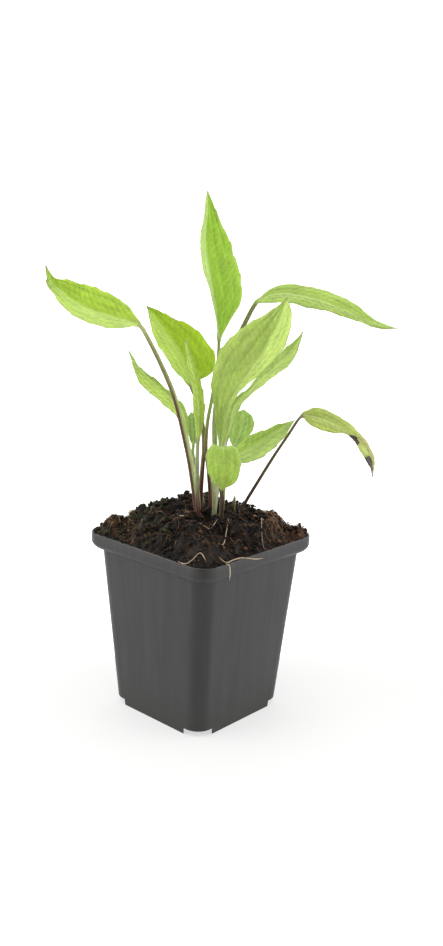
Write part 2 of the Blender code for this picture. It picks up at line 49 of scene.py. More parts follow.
PLACE = Vector(((pot_low[0] + pot_high[0]) / 2.0, (pot_low[1] + pot_high[1]) / 2.0, 0.0))

# Pot, as in the solids
POT_HEIGHT = 0.100
RIM_SIDE = 0.090
RIM_CORNER_RADIUS = 0.0100
RIM_HEIGHT = 0.0048
FLARE_HEIGHT = 0.0044
BODY_SIDE_AT_GROUND = 0.0672
BODY_SIDE_AT_TOP = 0.0820
BODY_CORNER_RADIUS = 0.0092
WALL = 0.0011
FLOOR_UNDERSIDE = 0.0036
FLOOR_TOP = 0.0048
NOTCH_WIDTH = 0.0150
DRAIN_RADIUS = 0.0040
DRAIN_OUT = 0.0290
CENTRE_DRAIN_RADIUS = 0.0050

# Pot, finer than the solids
CORNER_STEPS = 14
FLARE_STEPS = 9
LIP_STEPS = 6
WALL_SHARES = (0.0, 0.03, 0.25, 0.5, 0.75, 0.97, 1.0)
CUT_BELOW = 0.002
NOTCH_OUT = 0.042
NOTCH_LENGTH = 0.020
NOTCH_TOP = FLOOR_UNDERSIDE - 0.0002
DRAIN_CUT = (0.001, 0.008)
DRAIN_SIDES = 32
SHARP_ANGLE = math.radians(40)
SQUARE_CORNERS = [math.radians(-90.0 + 90.0 * corner) for corner in range(4)]

# Soil, as in the solids, and then its grit, crumbs, fibres and roots
FIT_GAP = 0.0003
SOIL_EDGE_HEIGHT = 0.0985
SOIL_MOUND = 0.0120
LUMP_SIZE = 0.0090
LUMP_HEIGHT = 0.0060
CRUMB_SIZE = 0.0045
CRUMB_HEIGHT = 0.0024
CLOD_SIZE = 0.0026
CLOD_HEIGHT = 0.0016
GRIT_SIZE = 0.0009
GRIT_HEIGHT = 0.0007
SOIL_RINGS = 96
SOIL_SIDE_POINTS = 60
SOIL_CORNER_STEPS = 10
CRUMBS = 3200
SMALL_CRUMB = 0.0006
LARGE_CRUMB = 0.0019
FINE_CRUMB = 0.0013
RIM_CRUMBS = 200
RIM_CRUMB_SIZES = (0.0004, 0.0013)
CRUMB_SEED = 11
FIBRES = 700
FIBRE_POINTS = 7
FIBRE_LENGTHS = (0.002, 0.009)
FIBRE_RADII = (0.00007, 0.00020)
FIBRE_SEED = 23
ROOT_POINTS = 40
FLAKE_SEED = 5

# Leaves
LEAF_POINTS = 400
STEM_DEPTH = 0.0100
BLADE_THICKNESS = 0.00045
BLADE_TIP = 0.00035
RIB_RADIUS = 0.0007
STALK_STATIONS = 46
BLADE_STATIONS = 150
WIDE_HALF = 0.0110
ACROSS_WIDE = 57
ACROSS_NARROW = 35
TOOTH_SPACING = 0.0085
TOOTH_DEPTH = 0.0008
QUILT_HEIGHT = 0.00022
VEIN_DEPTH = 0.00025
NERVE_DEPTH = 0.00028
NERVES = (0.34, 0.66)
NERVE_WIDTH = 0.0006
VEIN_SPACING = 0.0075
CREASE_DEPTH = 0.00030
KEEL_WIDTH = 0.0009
WAVE_HEIGHT = 0.00035
WAVE_LENGTH = 0.019
RIPPLE_HEIGHT = 0.0008
RIM_WIDTH = 0.0004
SCAR_WIDTH = 0.0009
RIB_SHADE_OUT = 0.0011
UNDERSIDE_SHIFT = 0.05
HAIR_LENGTH = 0.0009
HAIR_RADIUS = 0.00003
EDGE_HAIRS = 300
STALK_HAIRS = 90
HAIR_SEED = 100

# Table, wall and lights
LIT_POINT = Vector((0.0, 0.0, 0.12))
STAGE_HALF = 3.0
TABLE_BACK = 0.088
WALL_BEHIND = 0.9
WALL_LOW = -1.5
WALL_HIGH = 2.5

# Camera, found from the pot's edges in the photograph
CAMERA_FROM_POT = Vector((-0.017657, -0.545468, 0.275176))
CAMERA_TURN = math.radians(2.90)
CAMERA_TILT = math.radians(14.536)
CAMERA_ROLL = math.radians(1.964)
FOCAL_PIXELS = 1047.49
PICTURE_LONG_SIDE = 946
SENSOR = 36.0

# Colours, as linear light
LEAF_PALE = (0.520, 0.640, 0.250)
LEAF_UNDER = (0.500, 0.620, 0.260)
# The next colour is painted shade, laid in the grooves of the nerves and veins, beside the rib and towards
# the blade's base.
LEAF_PAINTED_SHADE = (0.160, 0.270, 0.030)
LEAF_EDGE = (0.230, 0.280, 0.070)
LEAF_SCAR = (0.260, 0.180, 0.060)
DRY_BROWN = (0.045, 0.028, 0.018)
DRY_TAN = (0.400, 0.340, 0.150)
SHOOT_GREEN = (0.260, 0.300, 0.080)
SHOOT_BROWN = (0.120, 0.080, 0.035)
HAIR_COLOUR = (0.800, 0.830, 0.680)
PEAT_BLACK = (0.008, 0.006, 0.005)
PEAT_BROWN = (0.029, 0.017, 0.010)
PEAT_RUST = (0.120, 0.052, 0.024)
MOSS_GREEN = (0.045, 0.058, 0.018)
FIBRE_TAN = (0.260, 0.160, 0.080)
ROOT_CREAM = (0.480, 0.390, 0.260)
ROOT_DIRT = (0.160, 0.100, 0.055)
FLAKE_PALE = (0.620, 0.600, 0.480)
POT_DARK = (0.0220, 0.0220, 0.0225)
POT_LIGHT = (0.0320, 0.0320, 0.0325)
POT_DUST = (0.120, 0.115, 0.110)
POT_FOOT = (0.022, 0.022, 0.017)
POT_SMEAR = (0.035, 0.022, 0.014)
TABLE_GREY = (0.280, 0.280, 0.275)
WALL_GREY = (0.800, 0.800, 0.800)
WHITE = (1.0, 1.0, 1.0)

# A stalk starts under the soil and runs up to the blade, and the blade's rib carries on from it.
# upper is where the blade's upper face looks, at its base and at its tip.
# left and right are how far the blade reaches from its rib at seven even steps along it, as seen
# from the upper face with the tip up.
# fold lifts both halves towards the upper face, in degrees, and droop bends their edges back down.
# Lengths are in millimetres.
MM_PER_METRE = 1000.0
LEAVES = {
    "leaf_top": dict(
        stalk=[(5.5, 6, 106.5), (4.5, 6.5, 120.5), (3, 7, 135), (1.5, 7.5, 145.5), (2, 9, 159),
            (4, 11, 171.5), (6.5, 13.5, 189)],
        blade=[(7, 14, 202), (6, 14, 211), (4, 13.5, 222.5), (1.5, 13, 234), (-1, 13, 245.5),
            (-2, 13.5, 256), (-1.5, 15, 266.5), (-1, 18, 280.5)],
        upper=[(0.85, -0.53, 0.05), (0.62, -0.78, 0.05)],
        left=(6, 7.5, 9, 12, 12.6, 8, 4.2), right=(8.4, 17.2, 18.7, 18, 15.8, 11.3, 5),
        stalk_radius=1, fold=35, droop=0.12,
    ),
    "leaf_left_high": dict(
        stalk=[(-2.5, -3, 109), (-6.5, -4, 135.5), (-10, -5, 152), (-15.5, -6.5, 173.5), (-22, -8, 189.5),
            (-29.5, -9, 204.5)],
        blade=[(-34.5, -9, 212.5), (-39.5, -10, 214.5), (-45.5, -12, 216), (-52.5, -13, 218),
            (-59.5, -14.5, 220.5), (-66.5, -16, 224), (-73, -16.5, 229), (-78.5, -16, 233.5),
            (-81.5, -14, 241.5)],
        upper=[(-0.1, -0.62, 0.78), (-0.25, -0.6, 0.75)],
        left=(8, 11.5, 14, 13.8, 10.3, 6.6, 2.2), right=(9.3, 11.8, 13.4, 12.8, 10.7, 7.1, 2.8),
        stalk_radius=1.2, fold=24, droop=0.12,
    ),
    "leaf_left_broad": dict(
        stalk=[(-1, 8, 105.5), (-0.5, 9, 121), (0, 10.5, 134.5), (0.5, 11, 144), (-0.5, 11, 157),
            (-3.5, 11, 169.5)],
        blade=[(-7.5, 11, 178.5), (-9, 12, 185.5), (-12.5, 13.5, 194), (-17, 15, 201.5), (-22.5, 16, 208),
            (-27.5, 17, 214), (-32, 16, 220)],
        upper=[(0.52, -0.78, 0.3), (0.4, -0.75, 0.45)],
        left=(8.6, 13.3, 15.1, 15.3, 13.9, 10.2, 6), right=(14.5, 18.1, 16.4, 14.2, 11, 7.7, 4.3),
        stalk_radius=1.1, fold=28, droop=0.1,
    ),
    "leaf_centre": dict(
        stalk=[(6.5, -2, 109.5), (6.5, -4, 121.5), (7, -6, 130.5), (7.5, -7.5, 138)],
        blade=[(8.5, -8.5, 147.5), (9.5, -10.5, 157.5), (10.5, -12, 169), (13.5, -13.5, 178),
            (18.5, -15, 187), (25, -16.5, 197), (30.5, -17.5, 206.5), (35.5, -17, 217.5),
            (40, -12.5, 229.5)],
        upper=[(-0.64, -0.75, 0.15), (-0.48, -0.85, 0.2)],
        left=(3.6, 7.4, 14, 18.6, 18.4, 14.6, 7.6), right=(3.2, 3.6, 4, 6.6, 10.3, 13, 9.1),
        stalk_radius=1.2, fold=29, droop=0.08,
    ),
    "leaf_narrow": dict(
        stalk=[(-2, -6.5, 109.5), (-3, -7.5, 125.5), (-3.5, -9.5, 143.5)],
        blade=[(-3.5, -10.5, 153), (-3.5, -11, 161.5), (-4, -12, 174), (-5.5, -12, 184), (-8.5, -11, 194.5),
            (-11.5, -9, 206.5)],
        upper=[(0.55, -0.8, 0.1)] * 2,
        left=(3.6, 4.5, 5, 5, 4.3, 3.3, 2), right=(2.5, 3.2, 3.5, 3.2, 2.7, 2.2, 1.4),
        stalk_radius=1.1, fold=24, droop=0,
    ),
    "leaf_right_mid": dict(
        stalk=[(7, 2, 108), (8.5, 4, 125), (10.5, 4, 138.5)],
        blade=[(12, 4, 150), (13.5, 4, 158.5), (15, 4, 166.5), (18, 4, 172.5), (23.5, 4, 178),
            (30, 4, 184.5), (37, 4, 191), (43.5, 4.5, 197.5), (48, 5, 204), (50.5, 5, 210)],
        upper=[(-0.55, -0.6, 0.5)] * 2,
        left=(2.2, 2.2, 2.2, 2.8, 4.2, 4.7, 3.5), right=(3.6, 5.2, 4.8, 5, 6.6, 7.6, 5),
        stalk_radius=1, fold=24, droop=0.1,
    ),
    "leaf_right_high": dict(
        stalk=[(7, 9.5, 105), (6.5, 10.5, 126), (6.5, 11.5, 143), (6, 12, 157.5), (6.5, 12.5, 168.5),
            (8.5, 13, 180.5), (13, 11, 198), (19, 9, 211)],
        blade=[(24.5, 7, 223), (28, 4.5, 226.5), (33, 2, 229), (39.5, -0.5, 230), (47, -3, 229.5),
            (55, -5.5, 228), (63.5, -7.5, 225.5), (71.5, -9.5, 222.5), (79.5, -11.5, 219),
            (87.5, -13, 216.5), (96.5, -14, 215.5)],
        upper=[(0.05, -0.5, 0.85), (0.15, -0.5, 0.85)],
        left=(7.5, 10, 11, 11.5, 10.6, 7.6, 4), right=(6.2, 8.4, 9, 7.9, 6.1, 4, 2.1),
        stalk_radius=1.3, fold=14, droop=0.25,
    ),
    "leaf_left_low": dict(
        stalk=[(-1, 3.5, 107), (-2.5, 4, 122), (-5, 4.5, 134.5), (-7, 5, 143)],
        blade=[(-9, 5, 152), (-10, 5.5, 159.5), (-12.5, 6, 166.5), (-17.5, 7, 171.5), (-24, 8, 177.5),
            (-30.5, 9, 183), (-36, 10, 188.5), (-41, 11, 196.5)],
        upper=[(0.3, -0.6, 0.7)] * 2,
        left=(3.5, 6.4, 7.5, 8.2, 8.8, 7.2, 3.4), right=(2.1, 2.6, 2.8, 2.6, 2.2, 1.7, 1.2),
        stalk_radius=1, fold=14, droop=0.1,
    ),
    "leaf_back_left": dict(
        stalk=[(2, 12, 106), (-1, 18, 121), (-5, 24, 137)],
        blade=[(-5, 26, 143), (-6, 28, 151.5), (-6.5, 30, 160.5)],
        upper=[(0.1, -0.8, 0.6)] * 2,
        left=(1.8, 2.3, 2.7, 2.8, 2.7, 2.6, 1.9), right=(2.9, 3.6, 4.2, 4.4, 3.9, 3.3, 2.1),
        stalk_radius=0.9, fold=8, droop=0.1,
    ),
    "leaf_back_right": dict(
        stalk=[(10.5, 11, 107), (12.5, 14.5, 122), (16, 19, 138)],
        blade=[(17.5, 21, 143), (20.5, 24, 151.5), (22.5, 27, 163.5)],
        upper=[(-0.1, -0.8, 0.6)] * 2,
        left=(3.5, 5.2, 6.4, 6.4, 6.3, 5.6, 4.1), right=(3, 4.4, 5.9, 7.3, 7.3, 6.8, 5.3),
        stalk_radius=0.9, fold=8, droop=0.1,
    ),
    "leaf_right_low": dict(
        stalk=[(11, 1, 108), (11.5, 2, 122), (12, 2, 137)],
        blade=[(14, 2, 141), (19.5, 0.5, 144.5), (26, -0.5, 148.5), (32, -1.5, 153), (38.5, -2.5, 158),
            (48, -2, 164)],
        upper=[(-0.2, -0.75, 0.65)] * 2,
        left=(4.5, 6.3, 6.9, 5.8, 4.6, 3.5, 2), right=(6, 8.1, 8.9, 9.1, 8.4, 6.5, 3.7),
        stalk_radius=1, fold=14, droop=0.15,
    ),
    "leaf_front": dict(
        stalk=[(10, -11, 112), (10, -13, 124), (8, -14, 138)],
        blade=[(8.5, -18, 149), (9, -24, 153.5), (9, -32, 153.5), (9, -38, 148.5), (9, -42, 143),
            (8, -44, 136)],
        upper=[(0.05, -0.3, 0.95), (0.05, -0.95, 0.1)],
        left=(3.5, 5, 6.5, 8, 8.8, 8.3, 6), right=(3.5, 5.5, 7, 8.9, 9.2, 8.5, 6.6),
        stalk_radius=1.1, fold=14, droop=0.1,
    ),
    "leaf_right_droop": dict(
        stalk=[(21, 7, 108), (23.3, 7, 114), (29.8, 5, 127), (38, 2, 143), (45, 1, 155)],
        blade=[(51, -1, 165.5), (55.5, -2, 166.5), (61, -3.5, 165.5), (68, -5.5, 163), (74, -7.5, 160),
            (80, -9.5, 155.5), (85, -11.5, 150), (88.5, -13, 143.5), (89.5, -13, 136.5)],
        upper=[(0.1, -0.6, 0.8), (0.7, -0.5, 0.5)],
        left=(7, 8.4, 7.6, 7, 6.4, 5.2, 4.1), right=(7.2, 8.7, 6.4, 1.9, 3.1, 4.3, 4.1),
        stalk_radius=0.8, fold=20, droop=0.3,
    ),
}

# How each leaf looks. green is the blade's own colour and pale how much paler its left and right
# halves are. stalk and foot are the stalk's colours above and at the soil, and reach is how far up
# the foot's colour goes. lopsided puts the foot's colour on one side of the stalk. shaded is how
# much painted shade darkens the blade near its base and beside its rib, and dry and scarred are
# how much of it dried or browned.
# What a leaf's own row leaves out is as in USUAL_LOOK.
USUAL_LOOK = dict(pale=(0.0, 0.0), lopsided=0.0, shaded=0.2, dry=0.0, scarred=0.0)
LOOKS = {
    "leaf_top": dict(
        green=(0.41, 0.62, 0.06), pale=(0.55, 0.0), stalk=(0.25, 0.32, 0.08), foot=(0.1, 0.026, 0.018),
        reach=0.75, lopsided=0.3, scarred=0.15,
    ),
    "leaf_left_high": dict(
        green=(0.46, 0.64, 0.055), pale=(0.4, 0.0), stalk=(0.52, 0.58, 0.24), foot=(0.15, 0.075, 0.05),
        reach=1.3, lopsided=1.0, scarred=0.35,
    ),
    "leaf_left_broad": dict(
        green=(0.5, 0.67, 0.036), pale=(0.35, 0.0), stalk=(0.24, 0.2, 0.09), foot=(0.11, 0.022, 0.016),
        reach=0.7, scarred=0.6,
    ),
    "leaf_centre": dict(
        green=(0.5, 0.64, 0.145), pale=(0.0, 0.05), stalk=(0.56, 0.6, 0.33), foot=(0.5, 0.5, 0.28),
        reach=0.5, scarred=0.15,
    ),
    "leaf_narrow": dict(
        green=(0.64, 0.82, 0.13), pale=(0.1, 0.0), stalk=(0.36, 0.39, 0.2), foot=(0.13, 0.05, 0.035),
        reach=0.45, shaded=0.15, scarred=0.2,
    ),
    "leaf_right_mid": dict(
        green=(0.5, 0.61, 0.17), pale=(0.3, 0.1), stalk=(0.55, 0.61, 0.31), foot=(0.6, 0.62, 0.4),
        reach=0.5, scarred=0.2,
    ),
    "leaf_right_high": dict(
        green=(0.37, 0.51, 0.08), pale=(0.0, 0.15), stalk=(0.21, 0.22, 0.08), foot=(0.44, 0.54, 0.22),
        reach=0.8, scarred=0.1,
    ),
    "leaf_left_low": dict(
        green=(0.55, 0.69, 0.14), pale=(0.1, 0.3), stalk=(0.64, 0.66, 0.39), foot=(0.15, 0.045, 0.035),
        reach=0.35, lopsided=0.2, scarred=0.1,
    ),
    "leaf_back_left": dict(
        green=(0.3, 0.46, 0.12), stalk=(0.3, 0.38, 0.12), foot=(0.15, 0.05, 0.035), reach=0.4,
    ),
    "leaf_back_right": dict(
        green=(0.42, 0.59, 0.15), stalk=(0.3, 0.38, 0.12), foot=(0.13, 0.11, 0.045), reach=0.5,
    ),
    "leaf_right_low": dict(
        green=(0.52, 0.7, 0.13), pale=(0.15, 0.5), stalk=(0.35, 0.43, 0.14), foot=(0.18, 0.14, 0.06),
        reach=0.4, scarred=0.1,
    ),
    "leaf_front": dict(
        green=(0.35, 0.51, 0.065), stalk=(0.17, 0.19, 0.06), foot=(0.085, 0.062, 0.03), reach=0.9,
        shaded=0.75, dry=0.15, scarred=0.2,
    ),
    "leaf_right_droop": dict(
        green=(0.49, 0.57, 0.13), stalk=(0.2, 0.16, 0.09), foot=(0.13, 0.075, 0.045), reach=0.7, dry=1.0,
        scarred=0.5,
    ),
}

# Roots on the soil: a number that sets a root's knots and tint, its radius, and its points from the
# pot's axis, with the height above the soil or the rim. Lengths are in millimetres.
ROOTS = [
    (10, 0.26, [(-12.8, -50, 0.4), (-9.3, -53.7, 0.5), (-5.9, -52.9, 0.6), (-1.9, -53.5, 0.5),
                (1, -56.1, 0.4)]),
    (10, 0.3, [(7.2, -49.8, 0.3), (11.2, -50.8, 0.6), (15, -49, 1.4), (18.8, -47, 1.8), (22.9, -46.2, 1.4),
               (26.5, -45.2, 0.7), (30.3, -43, 0.4)]),
    (12, 0.26, [(10.5, -50.5, 0.6), (12.2, -54, 0.7), (12.8, -57.2, 0.2), (13, -58.2, -2.8),
                (12.8, -58.4, -6)]),
    (11, 0.22, [(39.2, 17, 1), (37.1, 8.8, 1.6), (33.4, -3, 1.8), (31.5, -14.1, 1.4), (31.2, -24, 1),
                (32.2, -30, 0.5)]),
    (6, 0.26, [(13.8, -15, 0.6), (12.3, -25.4, 1.4), (10.8, -35.4, 1.2), (9, -41.9, 0.4)]),
    (10, 0.26, [(-13.4, 0.1, 0.6), (-11.7, -7, 1.2), (-9.6, -12.4, 0.4)]),
    (4, 0.22, [(-2.8, -19.1, 0.2), (0.2, -24.6, 1), (4, -22.1, 1.2), (7.8, -16.7, 0.3)]),
    (9, 0.12, [(-52, 2, 1), (-49, 4, 6), (-46, 6, 4)]),
]

# Pale flakes on the soil: place and size in millimetres
FLAKES = [(-38.9, 15.7, 2.2), (-40.5, 6.2, 1.8), (3, -20.5, 1)]

# The new shoot beside the outer leaf
SHOOT_FOOT = (0.0174, 0.0040)
SHOOT_HEIGHT = 0.0085
SHOOT_RADIUS = 0.0010
SHOOT_LEAN = Vector((0.0006, 0.0003, 0.0))
SHOOT_POINTS = 12
SHOOT_SIDES = 14


def metres(numbers):
    """Numbers given in millimetres, in metres."""
    return tuple(n / MM_PER_METRE for n in numbers)


def smoothstep(low, high, value):
    t = min(1.0, max(0.0, (value - low) / (high - low)))
    return t * t * (3.0 - 2.0 * t)


def mix(a, b, share):
    return tuple(x + (y - x) * share for x, y in zip(a, b))


def noise_at(x, y, z):
    return noise.noise(Vector((x, y, z)))


def outward(angle):
    """The level direction at an angle from the X axis."""
    return Vector((math.cos(angle), math.sin(angle), 0.0))


def bump_at(distance, width):
    """A round bump that is 1 at no distance and falls away over width."""
    return math.exp(-(distance / width) ** 2)


def smooth_path(points, count):
    """count points at even spacing on a smooth curve through the given points."""
    knots = [Vector(p) for p in points]
    dense = []
    for i in range(len(knots) - 1):
        before = knots[max(i - 1, 0)]
        after = knots[min(i + 2, len(knots) - 1)]
        start_pull = (knots[i + 1] - before) / 6.0
        end_pull = (after - knots[i]) / 6.0
        piece = interpolate_bezier(knots[i], knots[i] + start_pull, knots[i + 1] - end_pull, knots[i + 1], 25)
        dense += piece if i == 0 else piece[1:]
    lengths = [0.0]
    for a, b in zip(dense, dense[1:]):
        lengths.append(lengths[-1] + (b - a).length)
    path = []
    j = 0
    for k in range(count):
        target = lengths[-1] * k / (count - 1)
        while j < len(dense) - 2 and lengths[j + 1] < target:
            j += 1
        share = (target - lengths[j]) / (lengths[j + 1] - lengths[j])
        path.append(dense[j].lerp(dense[j + 1], min(1.0, max(0.0, share))))
    return path


def closed_mesh(name, points, faces):
    """A closed mesh whose faces look outwards."""
    mesh = bpy.data.meshes.new(name)
    mesh.from_pydata(points, [], faces)
    bm = bmesh.new()
    bm.from_mesh(mesh)
    bmesh.ops.recalc_face_normals(bm, faces=bm.faces)
    bm.to_mesh(mesh)
    bm.free()
    return mesh


def add_object(name, data):
    obj = bpy.data.objects.new(name, data)
    bpy.context.scene.collection.objects.link(obj)
    return obj


def add_piece(name, points, faces, node, material, tints=None, places=None):
    """A smooth closed mesh that stands for a CAD node. tints colour its points, and places map them."""
    mesh = closed_mesh(name, [PLACE + Vector(p) for p in points], faces)
    if tints:
        colours = mesh.color_attributes.new("tint", "FLOAT_COLOR", "POINT")
        colours.data.foreach_set("color", [c for tint in tints for c in (*tint, 1.0)])
    if places:
        layer = mesh.uv_layers.new(name="place")
        corners = [0] * len(mesh.loops)
        mesh.loops.foreach_get("vertex_index", corners)
        layer.data.foreach_set("uv", [c for i in corners for c in places[i]])
    mesh.shade_smooth()
    mesh.materials.append(material)
    piece = add_object(name, mesh)
    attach(piece, "root")
    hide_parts(node)
    return piece


def ring_faces(rings, sides):
    """Faces between rings of sides points each, with a cap at each end."""
    faces = []
    for k in range(rings - 1):
        low = k * sides
        high = low + sides
        for i in range(sides):
            j = (i + 1) % sides
            faces.append((low + i, low + j, high + j, high + i))
    last = (rings - 1) * sides
    return faces + [tuple(range(sides)), tuple(range(last, last + sides))]


def tube(route, radii, sides):
    """Points and faces of a round tube along a route, with a radius for each point of it."""
    points = []
    turn = None
    for k, point in enumerate(route):
        along = (route[min(k + 1, len(route) - 1)] - route[max(k - 1, 0)]).normalized()
        if turn is None:
            turn = along.orthogonal().normalized()
        turn = (turn - along * turn.dot(along)).normalized()
        other = along.cross(turn)
        for n in range(sides):
            angle = math.tau * n / sides
            points.append(point + (turn * math.cos(angle) + other * math.sin(angle)) * radii[k])
    return points, ring_faces(len(route), sides)


class Heap:
    """Many small closed shapes gathered into one piece."""

    def __init__(self):
        self.points = []
        self.faces = []
        self.tints = []

    def add(self, points, faces, tint):
        start = len(self.points)
        self.points += points
        self.faces += [tuple(start + i for i in face) for face in faces]
        self.tints += [tint] * len(points)

    def make(self, name, node, material):
        add_piece(name, self.points, self.faces, node, material, self.tints)


# Materials


class Surface:
    """A material with its shader, and short calls for the nodes that feed it."""

    def __init__(self, name):
        self.material = bpy.data.materials.new(name)
        self.material.use_nodes = True
        self.nodes = self.material.node_tree.nodes
        self.links = self.material.node_tree.links

    def feed(self, node, inputs):
        """Gives each named input of a node another node's output, a colour or a plain value."""
        for name, value in inputs.items():
            socket = node.inputs[name]
            if isinstance(value, bpy.types.NodeSocket):
                self.links.new(value, socket)
            elif socket.type == "RGBA":
                socket.default_value = (*value, 1.0)
            else:
                socket.default_value = value

    def add(self, kind, inputs, output):
        node = self.nodes.new(kind)
        self.feed(node, inputs)
        return node.outputs[output]

    def where(self):
        return self.add("ShaderNodeTexCoord", {}, "Object")

    def tint(self):
        """The colours that the piece's points carry."""
        node = self.nodes.new("ShaderNodeAttribute")
        node.attribute_name = "tint"
        return node.outputs["Color"]

    def stretched(self, vector, stretch):
        return self.add("ShaderNodeMapping", {"Vector": vector, "Scale": stretch}, "Vector")

    def noise(self, vector, scale, detail, stretch=WHITE, roughness=0.5):
        place = self.stretched(vector, stretch)
        inputs = {"Vector": place, "Scale": scale, "Detail": detail, "Roughness": roughness}
        return self.add("ShaderNodeTexNoise", inputs, "Fac")

    def span(self, value, from_low, from_high, to_low, to_high):
        inputs = {"Value": value, "From Min": from_low, "From Max": from_high}
        return self.add("ShaderNodeMapRange", inputs | {"To Min": to_low, "To Max": to_high}, "Result")

    def mix(self, blend, factor, a, b):
        """Mixes two colours, each an output or a plain colour."""
        node = self.nodes.new("ShaderNodeMix")
        node.data_type = "RGBA"
        node.blend_type = blend
        self.feed(node, {0: factor, 6: a, 7: b})
        return node.outputs[2]

    def shaded(self, colour, *shades):
        for shade in shades:
            colour = self.mix("MULTIPLY", 1.0, colour, shade)
        return colour

    def bump(self, height, distance, strength, under=None):
        inputs = {"Height": height, "Distance": distance, "Strength": strength}
        if under:
            inputs["Normal"] = under
        return self.add("ShaderNodeBump", inputs, "Normal")

    def done(self, inputs):
        """The material, with these inputs of its shader set."""
        self.feed(self.nodes["Principled BSDF"], inputs)
        return self.material


def leaf_material():
    """Soft hairy leaf: the tints its points carry, a fine net of veins darkened as painted shade in their
    grooves, and a dull sheen.
    """
    flesh = Surface("leaf_flesh")
    layer = flesh.nodes.new("ShaderNodeUVMap")
    layer.uv_map = "place"
    place = layer.outputs["UV"]
    net = flesh.nodes.new("ShaderNodeTexVoronoi")
    net.feature = "DISTANCE_TO_EDGE"
    flesh.feed(net, {"Vector": flesh.stretched(place, (1.5, 0.8, 1.0)), "Scale": 620.0})
    veins = flesh.span(net.outputs["Distance"], 0.0, 0.16, 0.0, 1.0)
    grain = flesh.noise(flesh.where(), 420.0, 3.0)
    blotch = flesh.noise(place, 130.0, 4.0, stretch=(2.2, 0.7, 1.0), roughness=0.6)
    dark = flesh.span(blotch, 0.30, 0.72, 0.80, 1.12)
    fine = flesh.span(grain, 0.25, 0.75, 0.93, 1.07)
    # Painted shade: the vein net's sunken lines are darker, as if shade lay in them.
    vein_shade = flesh.span(veins, 0.0, 1.0, 0.90, 1.03)
    vein_bump = flesh.bump(veins, 0.00014, 0.7)
    return flesh.done({
        "Base Color": flesh.shaded(flesh.tint(), dark, fine, vein_shade),
        "Roughness": 0.62, "Specular IOR Level": 0.30, "Sheen Weight": 0.22, "Sheen Roughness": 0.40,
        "Subsurface Weight": 0.22, "Subsurface Radius": (0.55, 1.0, 0.15), "Subsurface Scale": 0.0012,
        "Normal": flesh.bump(grain, 0.00016, 0.5, under=vein_bump),
    })


def hair_material():
    hair = Surface("leaf_hair")
    fade = hair.span(hair.noise(hair.where(), 300.0, 2.0), 0.3, 0.7, 0.80, 1.0)
    return hair.done({"Base Color": hair.shaded(HAIR_COLOUR, fade), "Roughness": 0.5})


def soil_material(name, wet, rough):
    """Peat: tinted by place, broken up by fine grain, and a little damp."""
    peat = Surface(name)
    where = peat.where()
    grain = peat.noise(where, 900.0, 6.0, roughness=0.7)
    damp = peat.noise(where, 260.0, 4.0)
    return peat.done({
        "Base Color": peat.shaded(peat.tint(), peat.span(grain, 0.30, 0.70, 0.45, 1.55)),
        "Roughness": peat.span(damp, 0.35, 0.65, wet, rough), "Specular IOR Level": 0.18,
        "Normal": peat.bump(grain, 0.0006, 0.9),
    })


def pot_material():
    """Thin dark grey plastic: a dull gloss, faint upright flow marks, dust and smears of peat."""
    plastic = Surface("pot_moulded_plastic")
    where = plastic.where()
    streaks = plastic.noise(where, 240.0, 3.0, stretch=(1.0, 1.0, 0.035))
    cloud = plastic.noise(where, 32.0, 4.0, roughness=0.6)
    speck = plastic.noise(where, 900.0, 3.0, roughness=0.7)
    smear = plastic.noise(where, 190.0, 5.0, roughness=0.65)
    height = plastic.add("ShaderNodeSeparateXYZ", {"Vector": where}, "Z")
    base = plastic.mix("MIX", plastic.span(streaks, 0.3, 0.7, 0.0, 1.0), POT_DARK, POT_LIGHT)
    base = plastic.shaded(base, plastic.span(cloud, 0.3, 0.7, 0.86, 1.14))
    base = plastic.mix("MIX", plastic.span(speck, 0.66, 0.80, 0.0, 0.45), base, POT_DUST)
    base = plastic.mix("MIX", plastic.span(height, 0.0, 0.022, 0.75, 0.0), base, POT_FOOT)
    smudge = plastic.nodes.new("ShaderNodeMath")
    smudge.operation = "MULTIPLY"
    smeared = plastic.span(smear, 0.52, 0.64, 0.0, 0.85)
    near_rim = plastic.span(height, 0.090, 0.1005, 0.0, 1.0)
    plastic.feed(smudge, {0: smeared, 1: near_rim})
    streak_bump = plastic.bump(streaks, 0.00012, 0.35)
    return plastic.done({
        "Base Color": plastic.mix("MIX", smudge.outputs[0], base, POT_SMEAR),
        "Roughness": plastic.span(cloud, 0.3, 0.7, 0.42, 0.58), "Specular IOR Level": 0.45,
        "Normal": plastic.bump(speck, 0.00006, 0.4, under=streak_bump),
    })


def root_material():
    skin = Surface("root_skin")
    dirt = skin.noise(skin.where(), 500.0, 4.0, roughness=0.7)
    return skin.done({
        "Base Color": skin.mix("MIX", skin.span(dirt, 0.50, 0.68, 0.0, 0.75), skin.tint(), ROOT_DIRT),
        "Roughness": 0.55, "Subsurface Weight": 0.15, "Subsurface Scale": 0.0005,
        "Normal": skin.bump(dirt, 0.0001, 0.6),
    })


def stage_material(name, colour, glow):
    """A matt surface that glows a little, for an evenly lit backdrop."""
    return Surface(name).done({
        "Base Color": colour, "Roughness": 1.0, "Specular IOR Level": 0.0,
        "Emission Color": WHITE, "Emission Strength": glow,
    })


# Pot


def square_ring(side, corner_radius, z, steps):
    """Points round a square with rounded corners, whose corners lie on the X and Y axes."""
    points = []
    to_centre = (side / 2.0 - corner_radius) * math.sqrt(2.0)
    for middle in SQUARE_CORNERS:
        centre = outward(middle) * to_centre
        for k in range(steps + 1):
            reach = outward(middle + math.radians(-45.0 + 90.0 * k / steps)) * corner_radius
            points.append(Vector((centre.x + reach.x, centre.y + reach.y, z)))
    return points


def body_side(z):
    return BODY_SIDE_AT_GROUND + (BODY_SIDE_AT_TOP - BODY_SIDE_AT_GROUND) * z / POT_HEIGHT


